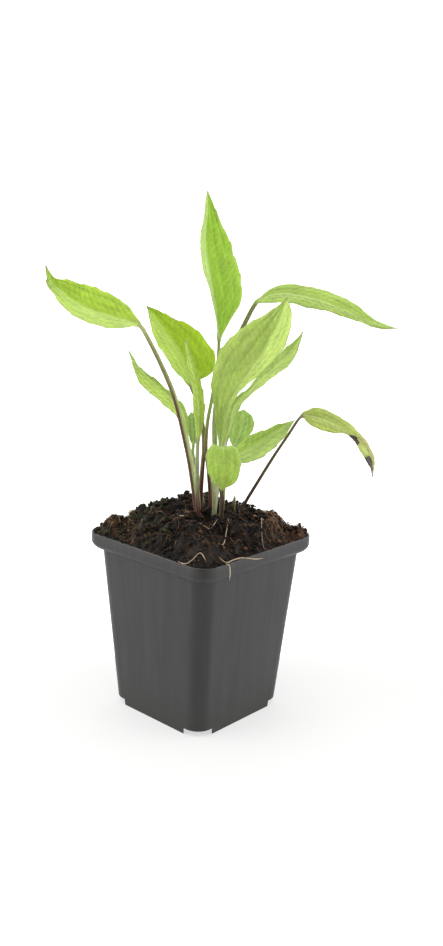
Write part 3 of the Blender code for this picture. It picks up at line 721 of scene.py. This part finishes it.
def wall_rings(inset, bottom, steps):
    """The wall's outline at a depth of inset inside its outer face, up through the flare below the rim."""
    flare_low = POT_HEIGHT - RIM_HEIGHT - FLARE_HEIGHT + inset
    body_radius = BODY_CORNER_RADIUS - inset
    low_side = body_side(flare_low) - 2.0 * inset
    high_side = RIM_SIDE - 2.0 * inset
    rings = []
    for share in WALL_SHARES:
        z = bottom + (flare_low - bottom) * share
        rings.append(square_ring(body_side(z) - 2.0 * inset, body_radius, z, steps))
    for k in range(1, FLARE_STEPS + 1):
        angle = math.radians(90.0 * k / FLARE_STEPS)
        side = low_side + (high_side - low_side) * math.sin(angle)
        radius = body_radius + (RIM_CORNER_RADIUS - BODY_CORNER_RADIUS) * math.sin(angle)
        z = flare_low + FLARE_HEIGHT * (1.0 - math.cos(angle))
        rings.append(square_ring(side, radius, z, steps))
    return rings


def cut(piece, name, points, faces):
    """Cuts a closed shape out of the piece."""
    tool = add_object(name, closed_mesh(name, [PLACE + p for p in points], faces))
    modifier = piece.modifiers.new("Cut", "BOOLEAN")
    modifier.operation = "DIFFERENCE"
    modifier.solver = "EXACT"
    modifier.object = tool
    bpy.context.view_layer.update()
    evaluated = piece.evaluated_get(bpy.context.evaluated_depsgraph_get())
    piece.data = bpy.data.meshes.new_from_object(evaluated)
    piece.modifiers.clear()
    bpy.data.objects.remove(tool)


def box_points(centre, along, wide, tall, angle):
    turn = Matrix.Rotation(angle, 3, "Z")
    half = (along / 2, wide / 2, tall / 2)
    signs = [(x, y, z) for z in (-1, 1) for x, y in ((-1, -1), (1, -1), (1, 1), (-1, 1))]
    return [centre + turn @ Vector([s * h for s, h in zip(corner, half)]) for corner in signs]


def make_pot():
    """A thin tapered pot with a flared, rounded rim, a raised floor and a gap at each foot corner."""
    half_wall = WALL / 2.0
    outer = wall_rings(0.0, 0.0, CORNER_STEPS)
    inner = wall_rings(WALL, FLOOR_TOP, CORNER_STEPS)
    lip = []
    for k in range(LIP_STEPS + 1):
        angle = math.pi * k / LIP_STEPS
        inset = half_wall * (1.0 - math.cos(angle))
        z = POT_HEIGHT - half_wall + half_wall * math.sin(angle)
        lip.append(square_ring(RIM_SIDE - 2.0 * inset, RIM_CORNER_RADIUS - inset, z, CORNER_STEPS))
    rings = outer + lip + inner[::-1]
    points = [p for ring in rings for p in ring]
    sides = len(outer[0])
    pot = add_piece("pot_shell", points, ring_faces(len(rings), sides), "pot", pot_material())
    under = [square_ring(body_side(z) - 2.0 * WALL, BODY_CORNER_RADIUS - WALL, z, CORNER_STEPS)
             for z in (-CUT_BELOW, FLOOR_UNDERSIDE)]
    cut(pot, "underside", [p for ring in under for p in ring], ring_faces(2, sides))
    for angle in SQUARE_CORNERS:
        centre = outward(angle) * NOTCH_OUT + Vector((0.0, 0.0, (NOTCH_TOP - CUT_BELOW) / 2.0))
        corners = box_points(centre, NOTCH_LENGTH, NOTCH_WIDTH, NOTCH_TOP + CUT_BELOW, angle)
        cut(pot, "notch", corners, ring_faces(2, 4))
    drains = [(Vector((0.0, 0.0, 0.0)), CENTRE_DRAIN_RADIUS)]
    drains += [(outward(angle) * DRAIN_OUT, DRAIN_RADIUS) for angle in SQUARE_CORNERS]
    for centre, radius in drains:
        route = [centre + Vector((0.0, 0.0, z)) for z in DRAIN_CUT]
        cut(pot, "drain", *tube(route, (radius, radius), DRAIN_SIDES))
    pot.data.shade_smooth()
    pot.data.set_sharp_from_angle(angle=SHARP_ANGLE)


# Soil


def wall_share(x, y):
    """0 in the pot's middle and 1 at its inner wall at the rim."""
    reach = (abs(x) + abs(y)) / math.sqrt(2.0)
    return reach / (RIM_SIDE / 2.0 - WALL - FIT_GAP)


def lumpy_height(x, y):
    """The soil's height, as in the solids."""
    share = min(1.0, wall_share(x, y))
    lump = noise_at(x / LUMP_SIZE, y / LUMP_SIZE, 3.7)
    crumb = noise_at(x / CRUMB_SIZE, y / CRUMB_SIZE, 9.1)
    mound = SOIL_MOUND * (1.0 - share ** 5)
    fade = 1.0 - 0.75 * smoothstep(0.8, 1.0, share)
    return SOIL_EDGE_HEIGHT + mound + fade * (LUMP_HEIGHT * lump + CRUMB_HEIGHT * crumb)


def soil_height(x, y):
    """The soil's height with its clods and grit."""
    share = min(1.0, wall_share(x, y))
    shift = noise_at(x * 300, y * 300, 1.0)
    clod = noise.cell(Vector((x / CLOD_SIZE + shift, y / CLOD_SIZE, 0.5)))
    soft = noise_at(x / CLOD_SIZE, y / CLOD_SIZE, 5.3)
    grit = noise_at(x / GRIT_SIZE, y / GRIT_SIZE, 7.9)
    fade = 1.0 - 0.6 * smoothstep(0.9, 1.0, share)
    rough = CLOD_HEIGHT * (0.35 * (clod - 0.5) + soft) + GRIT_HEIGHT * grit
    return lumpy_height(x, y) + fade * rough


def ground(x, y):
    """What something lies on there: the soil, or the pot's rim outside it."""
    if wall_share(x, y) < 1.0:
        return max(soil_height(x, y), lumpy_height(x, y))
    return POT_HEIGHT


def patches(x, y, scale, layer):
    """Soft patches from 0 to 1."""
    return 0.5 + 0.5 * noise_at(x * scale, y * scale, layer)


def peat_tint(x, y, depth):
    """Black peat with brown and rusty patches at both sides and a mossy one at the left."""
    brown = smoothstep(0.45, 0.75, patches(x, y, 160, 2.0) + depth)
    tint = mix(PEAT_BLACK, PEAT_BROWN, 0.75 * brown)
    rust = smoothstep(0.030, 0.055, abs(x)) * smoothstep(0.45, 0.62, patches(x, y, 210, 6.0))
    tint = mix(tint, PEAT_RUST, 0.55 * rust)
    moss = bump_at(x + 0.034, 0.012) * bump_at(y - 0.006, 0.016)
    moss *= smoothstep(0.35, 0.6, patches(x, y, 260, 8.0))
    return mix(tint, MOSS_GREEN, 0.6 * moss)


def with_side_points(ring):
    """The ring with more points along each straight side."""
    per_corner = SOIL_CORNER_STEPS + 1
    points = []
    for corner in range(4):
        points += ring[corner * per_corner:(corner + 1) * per_corner]
        start = points[-1]
        end = ring[((corner + 1) * per_corner) % len(ring)]
        points += [start.lerp(end, (k + 1) / (SOIL_SIDE_POINTS + 1)) for k in range(SOIL_SIDE_POINTS)]
    return points


def make_soil():
    """The root ball, with its lumps, clods and grit."""
    rings = wall_rings(WALL + FIT_GAP, FLOOR_TOP + FIT_GAP, SOIL_CORNER_STEPS)
    walls = [with_side_points(ring) for ring in rings]
    points = [p for ring in walls for p in ring]
    tints = [PEAT_BLACK] * len(points)
    outline = walls[-1]
    for k in range(SOIL_RINGS):
        share = 1.0 - k / SOIL_RINGS
        for p in outline:
            x, y = p.x * share, p.y * share
            z = soil_height(x, y)
            points.append(Vector((x, y, z)))
            tints.append(peat_tint(x, y, 60.0 * (z - lumpy_height(x, y))))
    faces = ring_faces(len(walls) + SOIL_RINGS, len(outline))
    add_piece("root_ball", points, faces, "soil", soil_material("peat", 0.55, 0.95), tints)


def crumb_shape(draw, size, fine):
    """Points and faces of one rough crumb round the origin."""
    bm = bmesh.new()
    bmesh.ops.create_icosphere(bm, subdivisions=2 if fine else 1, radius=1.0)
    stretch = Vector((draw.uniform(0.7, 1.3), draw.uniform(0.6, 1.1), draw.uniform(0.5, 0.9)))
    offset = Vector((draw.uniform(0, 50), draw.uniform(0, 50), draw.uniform(0, 50)))
    turn = Matrix.Rotation(draw.uniform(0, math.tau), 3, "Z")
    turn = turn @ Matrix.Rotation(draw.uniform(-0.7, 0.7), 3, "X")
    points = []
    for vert in bm.verts:
        push = 1.0 + 0.45 * noise.noise(vert.co * 1.6 + offset)
        p = Vector((vert.co.x * stretch.x, vert.co.y * stretch.y, vert.co.z * stretch.z))
        points.append(turn @ (p * push * size / 2.0))
    faces = [tuple(v.index for v in face.verts) for face in bm.faces]
    bm.free()
    return points, faces


def turned(u, v):
    """A place given along the pot's sides, in the frame's own directions."""
    return (u - v) / math.sqrt(2.0), (u + v) / math.sqrt(2.0)


def on_the_soil(draw, most):
    """A random place on the soil."""
    half = (RIM_SIDE / 2.0 - WALL) * most
    return turned(draw.uniform(-half, half), draw.uniform(-half, half))


def crumb_tint(draw, x):
    chance = draw.random()
    side = smoothstep(0.028, 0.055, abs(x))
    if chance < 0.03 + 0.12 * side:
        return mix(PEAT_RUST, FIBRE_TAN, draw.random() * 0.4)
    if chance < 0.30:
        return mix(PEAT_BROWN, PEAT_RUST, draw.random() * 0.35)
    if x < -0.018 and chance < 0.50:
        return mix(MOSS_GREEN, PEAT_BLACK, draw.random() * 0.7)
    return mix(PEAT_BLACK, PEAT_BROWN, draw.random() * 0.6)


def add_crumb(heap, draw, place, size, fine, tint=None):
    """One rough crumb with its middle at place. Its tint is drawn, unless it's given."""
    points, faces = crumb_shape(draw, size, fine)
    heap.add([p + Vector(place) for p in points], faces, tint or crumb_tint(draw, place[0]))


def make_crumbs():
    """Loose crumbs over the soil, with some on the rim."""
    draw = random.Random(CRUMB_SEED)
    heap = Heap()
    for _ in range(CRUMBS):
        x, y = on_the_soil(draw, 0.985)
        size = SMALL_CRUMB + LARGE_CRUMB * draw.random() ** 2.6
        add_crumb(heap, draw, (x, y, ground(x, y) + size * 0.18), size, size > FINE_CRUMB)
    for _ in range(RIM_CRUMBS):
        along = draw.uniform(-0.85, 0.85)
        half = RIM_SIDE / 2.0 - WALL * draw.uniform(0.2, 1.8)
        u, v = (half, along * half) if draw.random() < 0.5 else (along * half, half)
        if draw.random() < 0.3:
            u, v = -u, v
        x, y = turned(u, v)
        size = draw.uniform(*RIM_CRUMB_SIZES)
        add_crumb(heap, draw, (x, -y, POT_HEIGHT + size * 0.15), size, False)
    heap.make("soil_crumbs", "soil", soil_material("peat_crumbs", 0.6, 0.95))


def make_fibres():
    """Fine fibres and bits of root lying on the soil, rusty and thick at the right and left corners."""
    draw = random.Random(FIBRE_SEED)
    heap = Heap()
    last = FIBRE_POINTS - 1
    for n in range(FIBRES):
        x, y = on_the_soil(draw, 0.96)
        if n % 3 == 0:
            x, y = abs(x) * 0.35 + 0.034, y * 0.4
        elif n % 7 == 0:
            x, y = -abs(x) * 0.3 - 0.036, y * 0.4
        if wall_share(x, y) > 0.97:
            continue
        length = draw.uniform(*FIBRE_LENGTHS)
        heading = draw.uniform(0.0, math.tau)
        bend = draw.uniform(-1.3, 1.3)
        lift = draw.uniform(0.0, 0.0022) * draw.random()
        route = []
        for k in range(FIBRE_POINTS):
            t = k / last
            turn = heading + bend * (t - 0.5)
            px = x + math.cos(turn) * length * (t - 0.5)
            py = y + math.sin(turn) * length * (t - 0.5)
            route.append(Vector((px, py, ground(px, py) + 0.0003 + lift * math.sin(math.pi * t))))
        radius = draw.uniform(*FIBRE_RADII)
        radii = [radius * (1.0 - 0.7 * abs(2.0 * k / last - 1.0)) for k in range(FIBRE_POINTS)]
        rust = draw.random()
        tint = mix(PEAT_BROWN, FIBRE_TAN, rust * 0.5)
        if n % 3 == 0 or rust > 0.55:
            tint = mix(PEAT_RUST, FIBRE_TAN, rust)
        heap.add(*tube(route, radii, 4), tint)
    heap.make("soil_fibres", "soil", soil_material("peat_fibres", 0.6, 0.9))


def make_roots():
    """Cream roots that show on the soil, one of them hanging over the rim at the front."""
    heap = Heap()
    for seed, radius, route in ROOTS:
        ends = [Vector((x, y, ground(x, y) + lift)) for x, y, lift in map(metres, route)]
        radii = []
        for k in range(ROOT_POINTS):
            t = k / (ROOT_POINTS - 1)
            knots = 1.0 + 0.25 * noise_at(t * 9.0, seed, 0.0)
            taper = 0.25 + 0.75 * smoothstep(0.0, 0.15, min(t, 1.0 - t))
            radii.append(radius / MM_PER_METRE * knots * taper)
        tint = mix(ROOT_CREAM, FIBRE_TAN, 0.12 * (seed % 4))
        heap.add(*tube(smooth_path(ends, ROOT_POINTS), radii, 8), tint)
    draw = random.Random(FLAKE_SEED)
    for x, y, size in map(metres, FLAKES):
        add_crumb(heap, draw, (x, y, ground(x, y) + size * 0.5), size * 1.4, True, FLAKE_PALE)
    heap.make("surface_roots", "soil", root_material())


def make_shoot(flesh):
    """The short new shoot that shows beside the stalks."""
    x, y = SHOOT_FOOT
    foot = ground(x, y) - 0.001
    route, radii = [], []
    for k in range(SHOOT_POINTS):
        t = k / (SHOOT_POINTS - 1)
        route.append(Vector((x, y, foot + SHOOT_HEIGHT * t)) + SHOOT_LEAN * t ** 2)
        radii.append(SHOOT_RADIUS * math.sqrt(max(0.02, 1.0 - t ** 3)))
    points, faces = tube(route, radii, SHOOT_SIDES)
    tints = [mix(SHOOT_BROWN, SHOOT_GREEN, smoothstep(0.0, SHOOT_HEIGHT, p.z - foot)) for p in points]
    places = [(p.x, p.z) for p in points]
    add_piece("new_shoot", points, faces, "soil", flesh, tints, places)


# Leaves


def in_metres(leaf):
    """A row of LEAVES with its lengths in metres."""
    lengths = {key: [metres(p) for p in leaf[key]] for key in ("stalk", "blade")}
    lengths |= {key: metres(leaf[key]) for key in ("left", "right")}
    return leaf | lengths | {"stalk_radius": leaf["stalk_radius"] / MM_PER_METRE}


def half_blade(leaf, half, share):
    """How far one half of the blade reaches from the rib, smoothly through the leaf's own values."""
    steps = [leaf["stalk_radius"], *leaf[half], BLADE_TIP]
    i = min(int(share * (len(steps) - 1)), len(steps) - 2)
    t = share * (len(steps) - 1) - i
    rise_before = (steps[i + 1] - steps[max(i - 1, 0)]) / 2.0
    rise_after = (steps[min(i + 2, len(steps) - 1)] - steps[i]) / 2.0
    bend = 3.0 * (steps[i + 1] - steps[i]) - 2.0 * rise_before - rise_after
    twist = rise_before + rise_after - 2.0 * (steps[i + 1] - steps[i])
    return max(BLADE_TIP, steps[i] + t * (rise_before + t * (bend + t * twist)))


def leaf_route(leaf):
    """Close points along the whole leaf, from the stalk's foot in the soil to the blade's tip."""
    start = Vector(leaf["stalk"][0])
    foot = Vector((start.x, start.y, start.z - STEM_DEPTH))
    return smooth_path([foot, *leaf["stalk"], *leaf["blade"]], LEAF_POINTS)


def leaf_frames(leaf):
    """(point, side, up, share along the blade, distance along the blade) at each station.

    The share and the distance are negative on the stalk."""
    dense = leaf_route(leaf)
    base = Vector(leaf["blade"][0])
    split = min(range(len(dense)), key=lambda i: (dense[i] - base).length)
    rest = len(dense) - 1 - split
    step = (dense[1] - dense[0]).length
    stations = [split * k / STALK_STATIONS for k in range(STALK_STATIONS)]
    stations += [split + rest * k / (BLADE_STATIONS - 1) for k in range(BLADE_STATIONS)]
    low, high = (Vector(v) for v in leaf["upper"])
    frames = []
    for s in stations:
        i = min(len(dense) - 2, int(s))
        point = dense[i].lerp(dense[i + 1], s - i)
        along = dense[min(len(dense) - 1, i + 3)] - dense[max(0, i - 3)]
        along.normalize()
        share = (s - split) / rest
        side = along.cross(low.lerp(high, max(0.0, share))).normalized()
        frames.append((point, side, side.cross(along).normalized(), share, (s - split) * step))
    return frames


def edge_teeth(distance, side, seed):
    """How far one edge stands out in small forward-pointing teeth, from 0 to 1."""
    wander = 0.35 * noise_at(distance * 60.0, side, seed)
    phase = (distance / TOOTH_SPACING + 0.37 * side + wander + seed) % 1.0
    return phase ** 1.6 * (1.0 - smoothstep(0.88, 1.0, phase))


def leaf_marks(s, reach, width, share, distance, seed):
    """How strongly the quilting, the side veins and the long nerves show at one point of a blade."""
    along = distance - reach * width * 0.9
    veins = math.cos(math.tau * along / VEIN_SPACING + 0.8 * seed) ** 8 if along > 0.0 else 0.0
    veins *= smoothstep(0.0, 0.2, reach) * (1.0 - smoothstep(0.75, 1.0, reach))
    nerves = min(1.0, sum(bump_at((reach - at) * width, NERVE_WIDTH) for at in NERVES))
    quilt = noise_at(s * width * 260.0, distance * 150.0, seed * 7.0)
    quilt += 0.35 * noise_at(s * width * 620.0, distance * 380.0, seed * 3.0)
    strength = smoothstep(0.02, 0.15, share) * (1.0 - 0.6 * smoothstep(0.85, 1.0, share))
    return quilt * strength, veins * strength, nerves * strength


def dryness(look, s, reach, share, distance, seed):
    """How dry the blade is there: its base, two patches along its right half, and its tip."""
    ragged = 0.30 * noise_at(distance * 380.0, s * 2.5, seed + 9.0)
    half = smoothstep(-0.30, 0.10, s + ragged)
    spots = bump_at(share - 0.58, 0.055) + bump_at(share - 0.86, 0.070)
    tip = smoothstep(0.95, 0.99, share + 0.2 * ragged)
    base = (1.0 - smoothstep(0.03, 0.07, share)) * smoothstep(0.2, 0.6, reach)
    return look["dry"] * min(1.0, 2.0 * half * spots + tip + 0.5 * base)


def blade_tint(look, s, reach, width, share, distance, marks, under, seed):
    quilt, veins, nerves = marks
    fine = noise_at(s * width * 420.0, distance * 110.0, seed)
    large = noise_at(s * width * 90.0, distance * 45.0, seed + 3.0)
    # fine and large vary the blade's own tone; the quilt term is painted shade in the quilting's hollows and
    # painted light on its bumps.
    shade = 1.0 + 0.08 * fine + 0.12 * large + 0.04 * quilt
    green = tuple(c * shade for c in look["green"])
    green = mix(green, LEAF_PALE, look["pale"][1 if s > 0.0 else 0] * smoothstep(0.0, 0.12, reach))
    # Painted shade in the grooves of the long nerves and the side veins.
    green = mix(green, LEAF_PAINTED_SHADE, 0.22 * nerves + 0.10 * veins)
    # Painted shade beside the rib's crease and towards the blade's base, as strong as the leaf's shaded
    # value.
    painted_shade_by_rib = bump_at(reach * width - RIB_SHADE_OUT, NERVE_WIDTH)
    shaded = look["shaded"] * (painted_shade_by_rib * (1.0 - share) + 0.45 * (1.0 - smoothstep(0.0, 0.55, share)))
    green = mix(green, LEAF_PAINTED_SHADE, min(1.0, shaded))
    rib = max(0.0, 0.75 - look["shaded"]) * (1.0 - 0.5 * share)
    green = mix(green, LEAF_PALE, rib * bump_at(reach * width, NERVE_WIDTH))
    if under:
        green = mix(green, LEAF_UNDER, 0.70)
    green = mix(green, LEAF_EDGE, 0.55 * bump_at((1.0 - reach) * width, RIM_WIDTH))
    scar = smoothstep(0.15, 0.45, noise_at(distance * 130.0, s * 1.2, seed + 6.0))
    scar *= bump_at((1.0 - reach) * width, SCAR_WIDTH)
    green = mix(green, LEAF_SCAR, min(1.0, look["scarred"] * (scar + 0.8 * smoothstep(0.93, 1.0, share))))
    if look["dry"] > 0.0:
        dry = dryness(look, s, reach, share, distance, seed)
        fading = smoothstep(0.45, 0.70, share) * smoothstep(-0.2, 0.6, -s) + smoothstep(0.80, 1.0, share)
        green = mix(green, DRY_TAN, min(1.0, look["dry"] * 0.55 * fading + 0.7 * dry))
        green = mix(green, DRY_BROWN, smoothstep(0.35, 0.80, dry))
    return green


def leaf_tint(look, s, reach, width, share, distance, marks, under, climb, seed):
    """Colour of one point of a leaf. climb runs from 0 at the soil to 1 at the blade's base."""
    streak = 0.5 + 0.5 * noise_at(s * 1.3, distance * 40.0, seed + 5.0)
    foot = 1.0 - smoothstep(look["reach"] * 0.30, look["reach"], climb + 0.30 * (streak - 0.5))
    one_side = mix((1.0,), (smoothstep(-0.35, 0.35, -s) * 1.15,), look["lopsided"])[0]
    stalk = mix(look["stalk"], look["foot"], min(1.0, foot * one_side))
    stalk = tuple(c * (0.86 + 0.28 * streak) for c in stalk)
    if share < -0.02:
        return stalk
    blade = blade_tint(look, s, reach, width, max(0.0, share), distance, marks, under, seed)
    return mix(stalk, blade, smoothstep(-0.02, 0.06, share))


def make_leaf(name, number, flesh, hair):
    """One leaf: a grooved stalk that widens into a folded, veined and toothed blade."""
    leaf = in_metres(LEAVES[name])
    look = USUAL_LOOK | LOOKS[name]
    seed = 1.7 * number + 0.4
    across = ACROSS_WIDE if max(*leaf["left"], *leaf["right"]) > WIDE_HALF else ACROSS_NARROW
    columns = []
    for k in range(across):
        v = 2.0 * k / (across - 1) - 1.0
        columns.append(0.45 * v + 0.55 * math.sin(math.pi / 2.0 * v))
    frames = leaf_frames(leaf)
    points, tints, places, edges, stems = [], [], [], [], []
    first_height = leaf["stalk"][0][2]
    stalk_rise = max(0.001, leaf["blade"][0][2] - first_height)
    for point, side, up, share, distance in frames:
        radius = leaf["stalk_radius"] * (1.15 - 0.25 * smoothstep(-1.0, 0.2, share))
        plain = {1.0: radius, -1.0: radius}
        flat = 0.0
        if share > 0.0:
            plain = {1.0: half_blade(leaf, "right", share), -1.0: half_blade(leaf, "left", share)}
            flat = smoothstep(0.0, 0.10, share)
        fold = math.radians(leaf["fold"]) * flat
        rib = RIB_RADIUS * (1.0 - smoothstep(0.35, 0.95, share))
        climb = (point.z - first_height) / stalk_rise
        top_row, low_row = [], []
        for s in columns:
            reach = abs(s)
            hand = 1.0 if s > 0.0 else -1.0
            toothed = TOOTH_DEPTH * smoothstep(0.12, 0.30, share) * (1.0 - smoothstep(0.88, 0.98, share))
            width = plain[hand] + toothed * (edge_teeth(distance, hand, seed) - 0.4) * reach ** 4
            crease = math.sqrt(s * s + 0.004 * flat) if flat > 0.0 else reach
            lift = crease * math.sin(fold) - leaf["droop"] * flat * reach ** 3
            swing = math.sin(math.tau * distance / WAVE_LENGTH + 2.1 * hand + seed)
            wave = WAVE_HEIGHT * flat * reach ** 3 * swing
            wave += RIPPLE_HEIGHT * flat * reach ** 2 * noise_at(distance * 70.0, hand * 2.0, seed)
            centre = point + side * (s * width * math.cos(fold)) + up * (width * lift + wave)
            round_half = radius * math.sqrt(max(0.0, 1.0 - s * s))
            thin = BLADE_THICKNESS / 2.0 * math.sqrt(max(0.0, 1.0 - reach ** 8))
            marks = leaf_marks(s, reach, width, share, distance, seed) if share > 0.0 else (0.0, 0.0, 0.0)
            relief = QUILT_HEIGHT * marks[0] - VEIN_DEPTH * marks[1] - NERVE_DEPTH * marks[2]
            groove = 0.45 * radius * bump_at(s * width, radius * 0.45) * (1.0 - flat) * (1.0 - reach ** 2)
            crease_cut = CREASE_DEPTH * flat * bump_at(s * width, NERVE_WIDTH) * (1.0 - 0.7 * share)
            keel = rib * flat * bump_at(s * width, KEEL_WIDTH)
            top = (1.0 - flat) * (0.75 * round_half - groove) + flat * thin - crease_cut
            low = (1.0 - flat) * round_half + flat * thin + keel
            edge_fade = 1.0 - reach ** 10
            top_row.append((centre + up * (top + relief * edge_fade), s, width, marks, False))
            low_row.append((centre + up * (-low + relief * edge_fade), s, width, marks, True))
        ring = top_row + low_row[-2:0:-1]
        for spot, s, width, marks, under in ring:
            points.append(spot)
            tints.append(leaf_tint(look, s, abs(s), width, share, distance, marks, under, climb, seed))
            places.append((s * width, distance + (UNDERSIDE_SHIFT if under else 0.0)))
        if share > 0.02:
            edges += [(top_row[0][0], -side, up), (top_row[-1][0], side, up)]
        elif climb > 0.05:
            stems.append((point, side, up, radius))
    faces = ring_faces(len(frames), 2 * across - 2)
    add_piece(name + "_fine", points, faces, name, flesh, tints, places)
    make_hairs(name, edges, stems, number, hair)


def make_hairs(name, edges, stems, number, hair):
    """Short pale hairs along a leaf's edges and stalk."""
    draw = random.Random(HAIR_SEED + number)
    heap = Heap()
    starts = []
    for _ in range(EDGE_HAIRS):
        spot, out, up = draw.choice(edges)
        lean = out + up * draw.uniform(-0.8, 0.8)
        starts.append((spot - out * 0.0001, lean))
    for _ in range(STALK_HAIRS if stems else 0):
        spot, side, up, radius = draw.choice(stems)
        angle = draw.uniform(0.0, math.tau)
        out = side * math.cos(angle) + up * math.sin(angle)
        starts.append((spot + out * radius * 0.7, out))
    for spot, lean in starts:
        stray = Vector([draw.uniform(-0.4, 0.4) for _ in range(3)])
        lean = (lean + stray).normalized()
        tip = spot + lean * HAIR_LENGTH * draw.uniform(0.5, 1.0)
        turn = lean.orthogonal().normalized() * HAIR_RADIUS
        other = lean.cross(turn)
        base = [spot + turn, spot - turn * 0.5 + other * 0.87, spot - turn * 0.5 - other * 0.87]
        heap.add([*base, tip], [(0, 1, 2), (0, 1, 3), (1, 2, 3), (2, 0, 3)], HAIR_COLOUR)
    heap.make(name + "_hairs", name, hair)


# Stage


def add_plane(name, corners, material):
    mesh = bpy.data.meshes.new(name)
    mesh.from_pydata([PLACE + Vector(c) for c in corners], [], [(0, 1, 2, 3)])
    mesh.materials.append(material)
    plane = add_object(name, mesh)


def make_stage():
    """A pale table whose far edge lies just behind the pot, a little askew, and a white wall."""
    left, right = -STAGE_HALF, STAGE_HALF
    table = [(left, left), (right, left), (right, TABLE_BACK + 0.02), (left, TABLE_BACK - 0.08)]
    wall = [(left, WALL_LOW), (right, WALL_LOW), (right, WALL_HIGH), (left, WALL_HIGH)]
    add_plane("table", [(x, y, 0.0) for x, y in table], stage_material("table_white", TABLE_GREY, 0.62))
    add_plane("wall", [(x, WALL_BEHIND, z) for x, z in wall], stage_material("wall_white", WALL_GREY, 1.0))


def add_area(name, place, size, power):
    """A square lamp that shines at the plant."""
    light = bpy.data.lights.new(name, "AREA")
    light.shape = "SQUARE"
    light.size = size
    light.energy = power
    lamp = add_object(name, light)
    lamp.location = place
    lamp.rotation_euler = (LIT_POINT - Vector(place)).to_track_quat("-Z", "Y").to_euler()


def make_lights():
    """Large soft lights at both sides and above, and little from the camera's side."""
    add_area("soft_left", (-1.15, -0.12, 0.55), 1.0, 13.6)
    add_area("soft_right", (1.15, -0.12, 0.50), 1.0, 12.6)
    add_area("soft_top", (-0.1, -0.30, 1.5), 1.2, 14.0)
    world = bpy.data.worlds.new("soft_surround")
    world.use_nodes = True
    background = world.node_tree.nodes["Background"]
    background.inputs["Color"].default_value = (*WHITE, 1.0)
    background.inputs["Strength"].default_value = 0.125
    bpy.context.scene.world = world


def make_camera():
    """The photograph's own view, from in front of the pot's near corner and a little above it."""
    camera = bpy.data.cameras.new("camera")
    camera.sensor_width = SENSOR
    camera.lens = FOCAL_PIXELS * SENSOR / PICTURE_LONG_SIDE
    camera.clip_start = 0.01
    holder = add_object("camera", camera)
    turn = Matrix.Rotation(-CAMERA_TURN, 4, "Z") @ Matrix.Rotation(math.pi / 2.0 - CAMERA_TILT, 4, "X")
    turn = turn @ Matrix.Rotation(CAMERA_ROLL, 4, "Z")
    holder.matrix_world = Matrix.Translation(PLACE + CAMERA_FROM_POT) @ turn
    bpy.context.scene.camera = holder
    bpy.context.scene.view_settings.view_transform = "Standard"


leaf_flesh = leaf_material()
leaf_hair = hair_material()
make_camera()
make_lights()
make_stage()
make_pot()
make_soil()
make_crumbs()
make_fibres()
make_roots()
make_shoot(leaf_flesh)
for leaf_number, leaf_name in enumerate(LEAVES):
    make_leaf(leaf_name, leaf_number, leaf_flesh, leaf_hair)
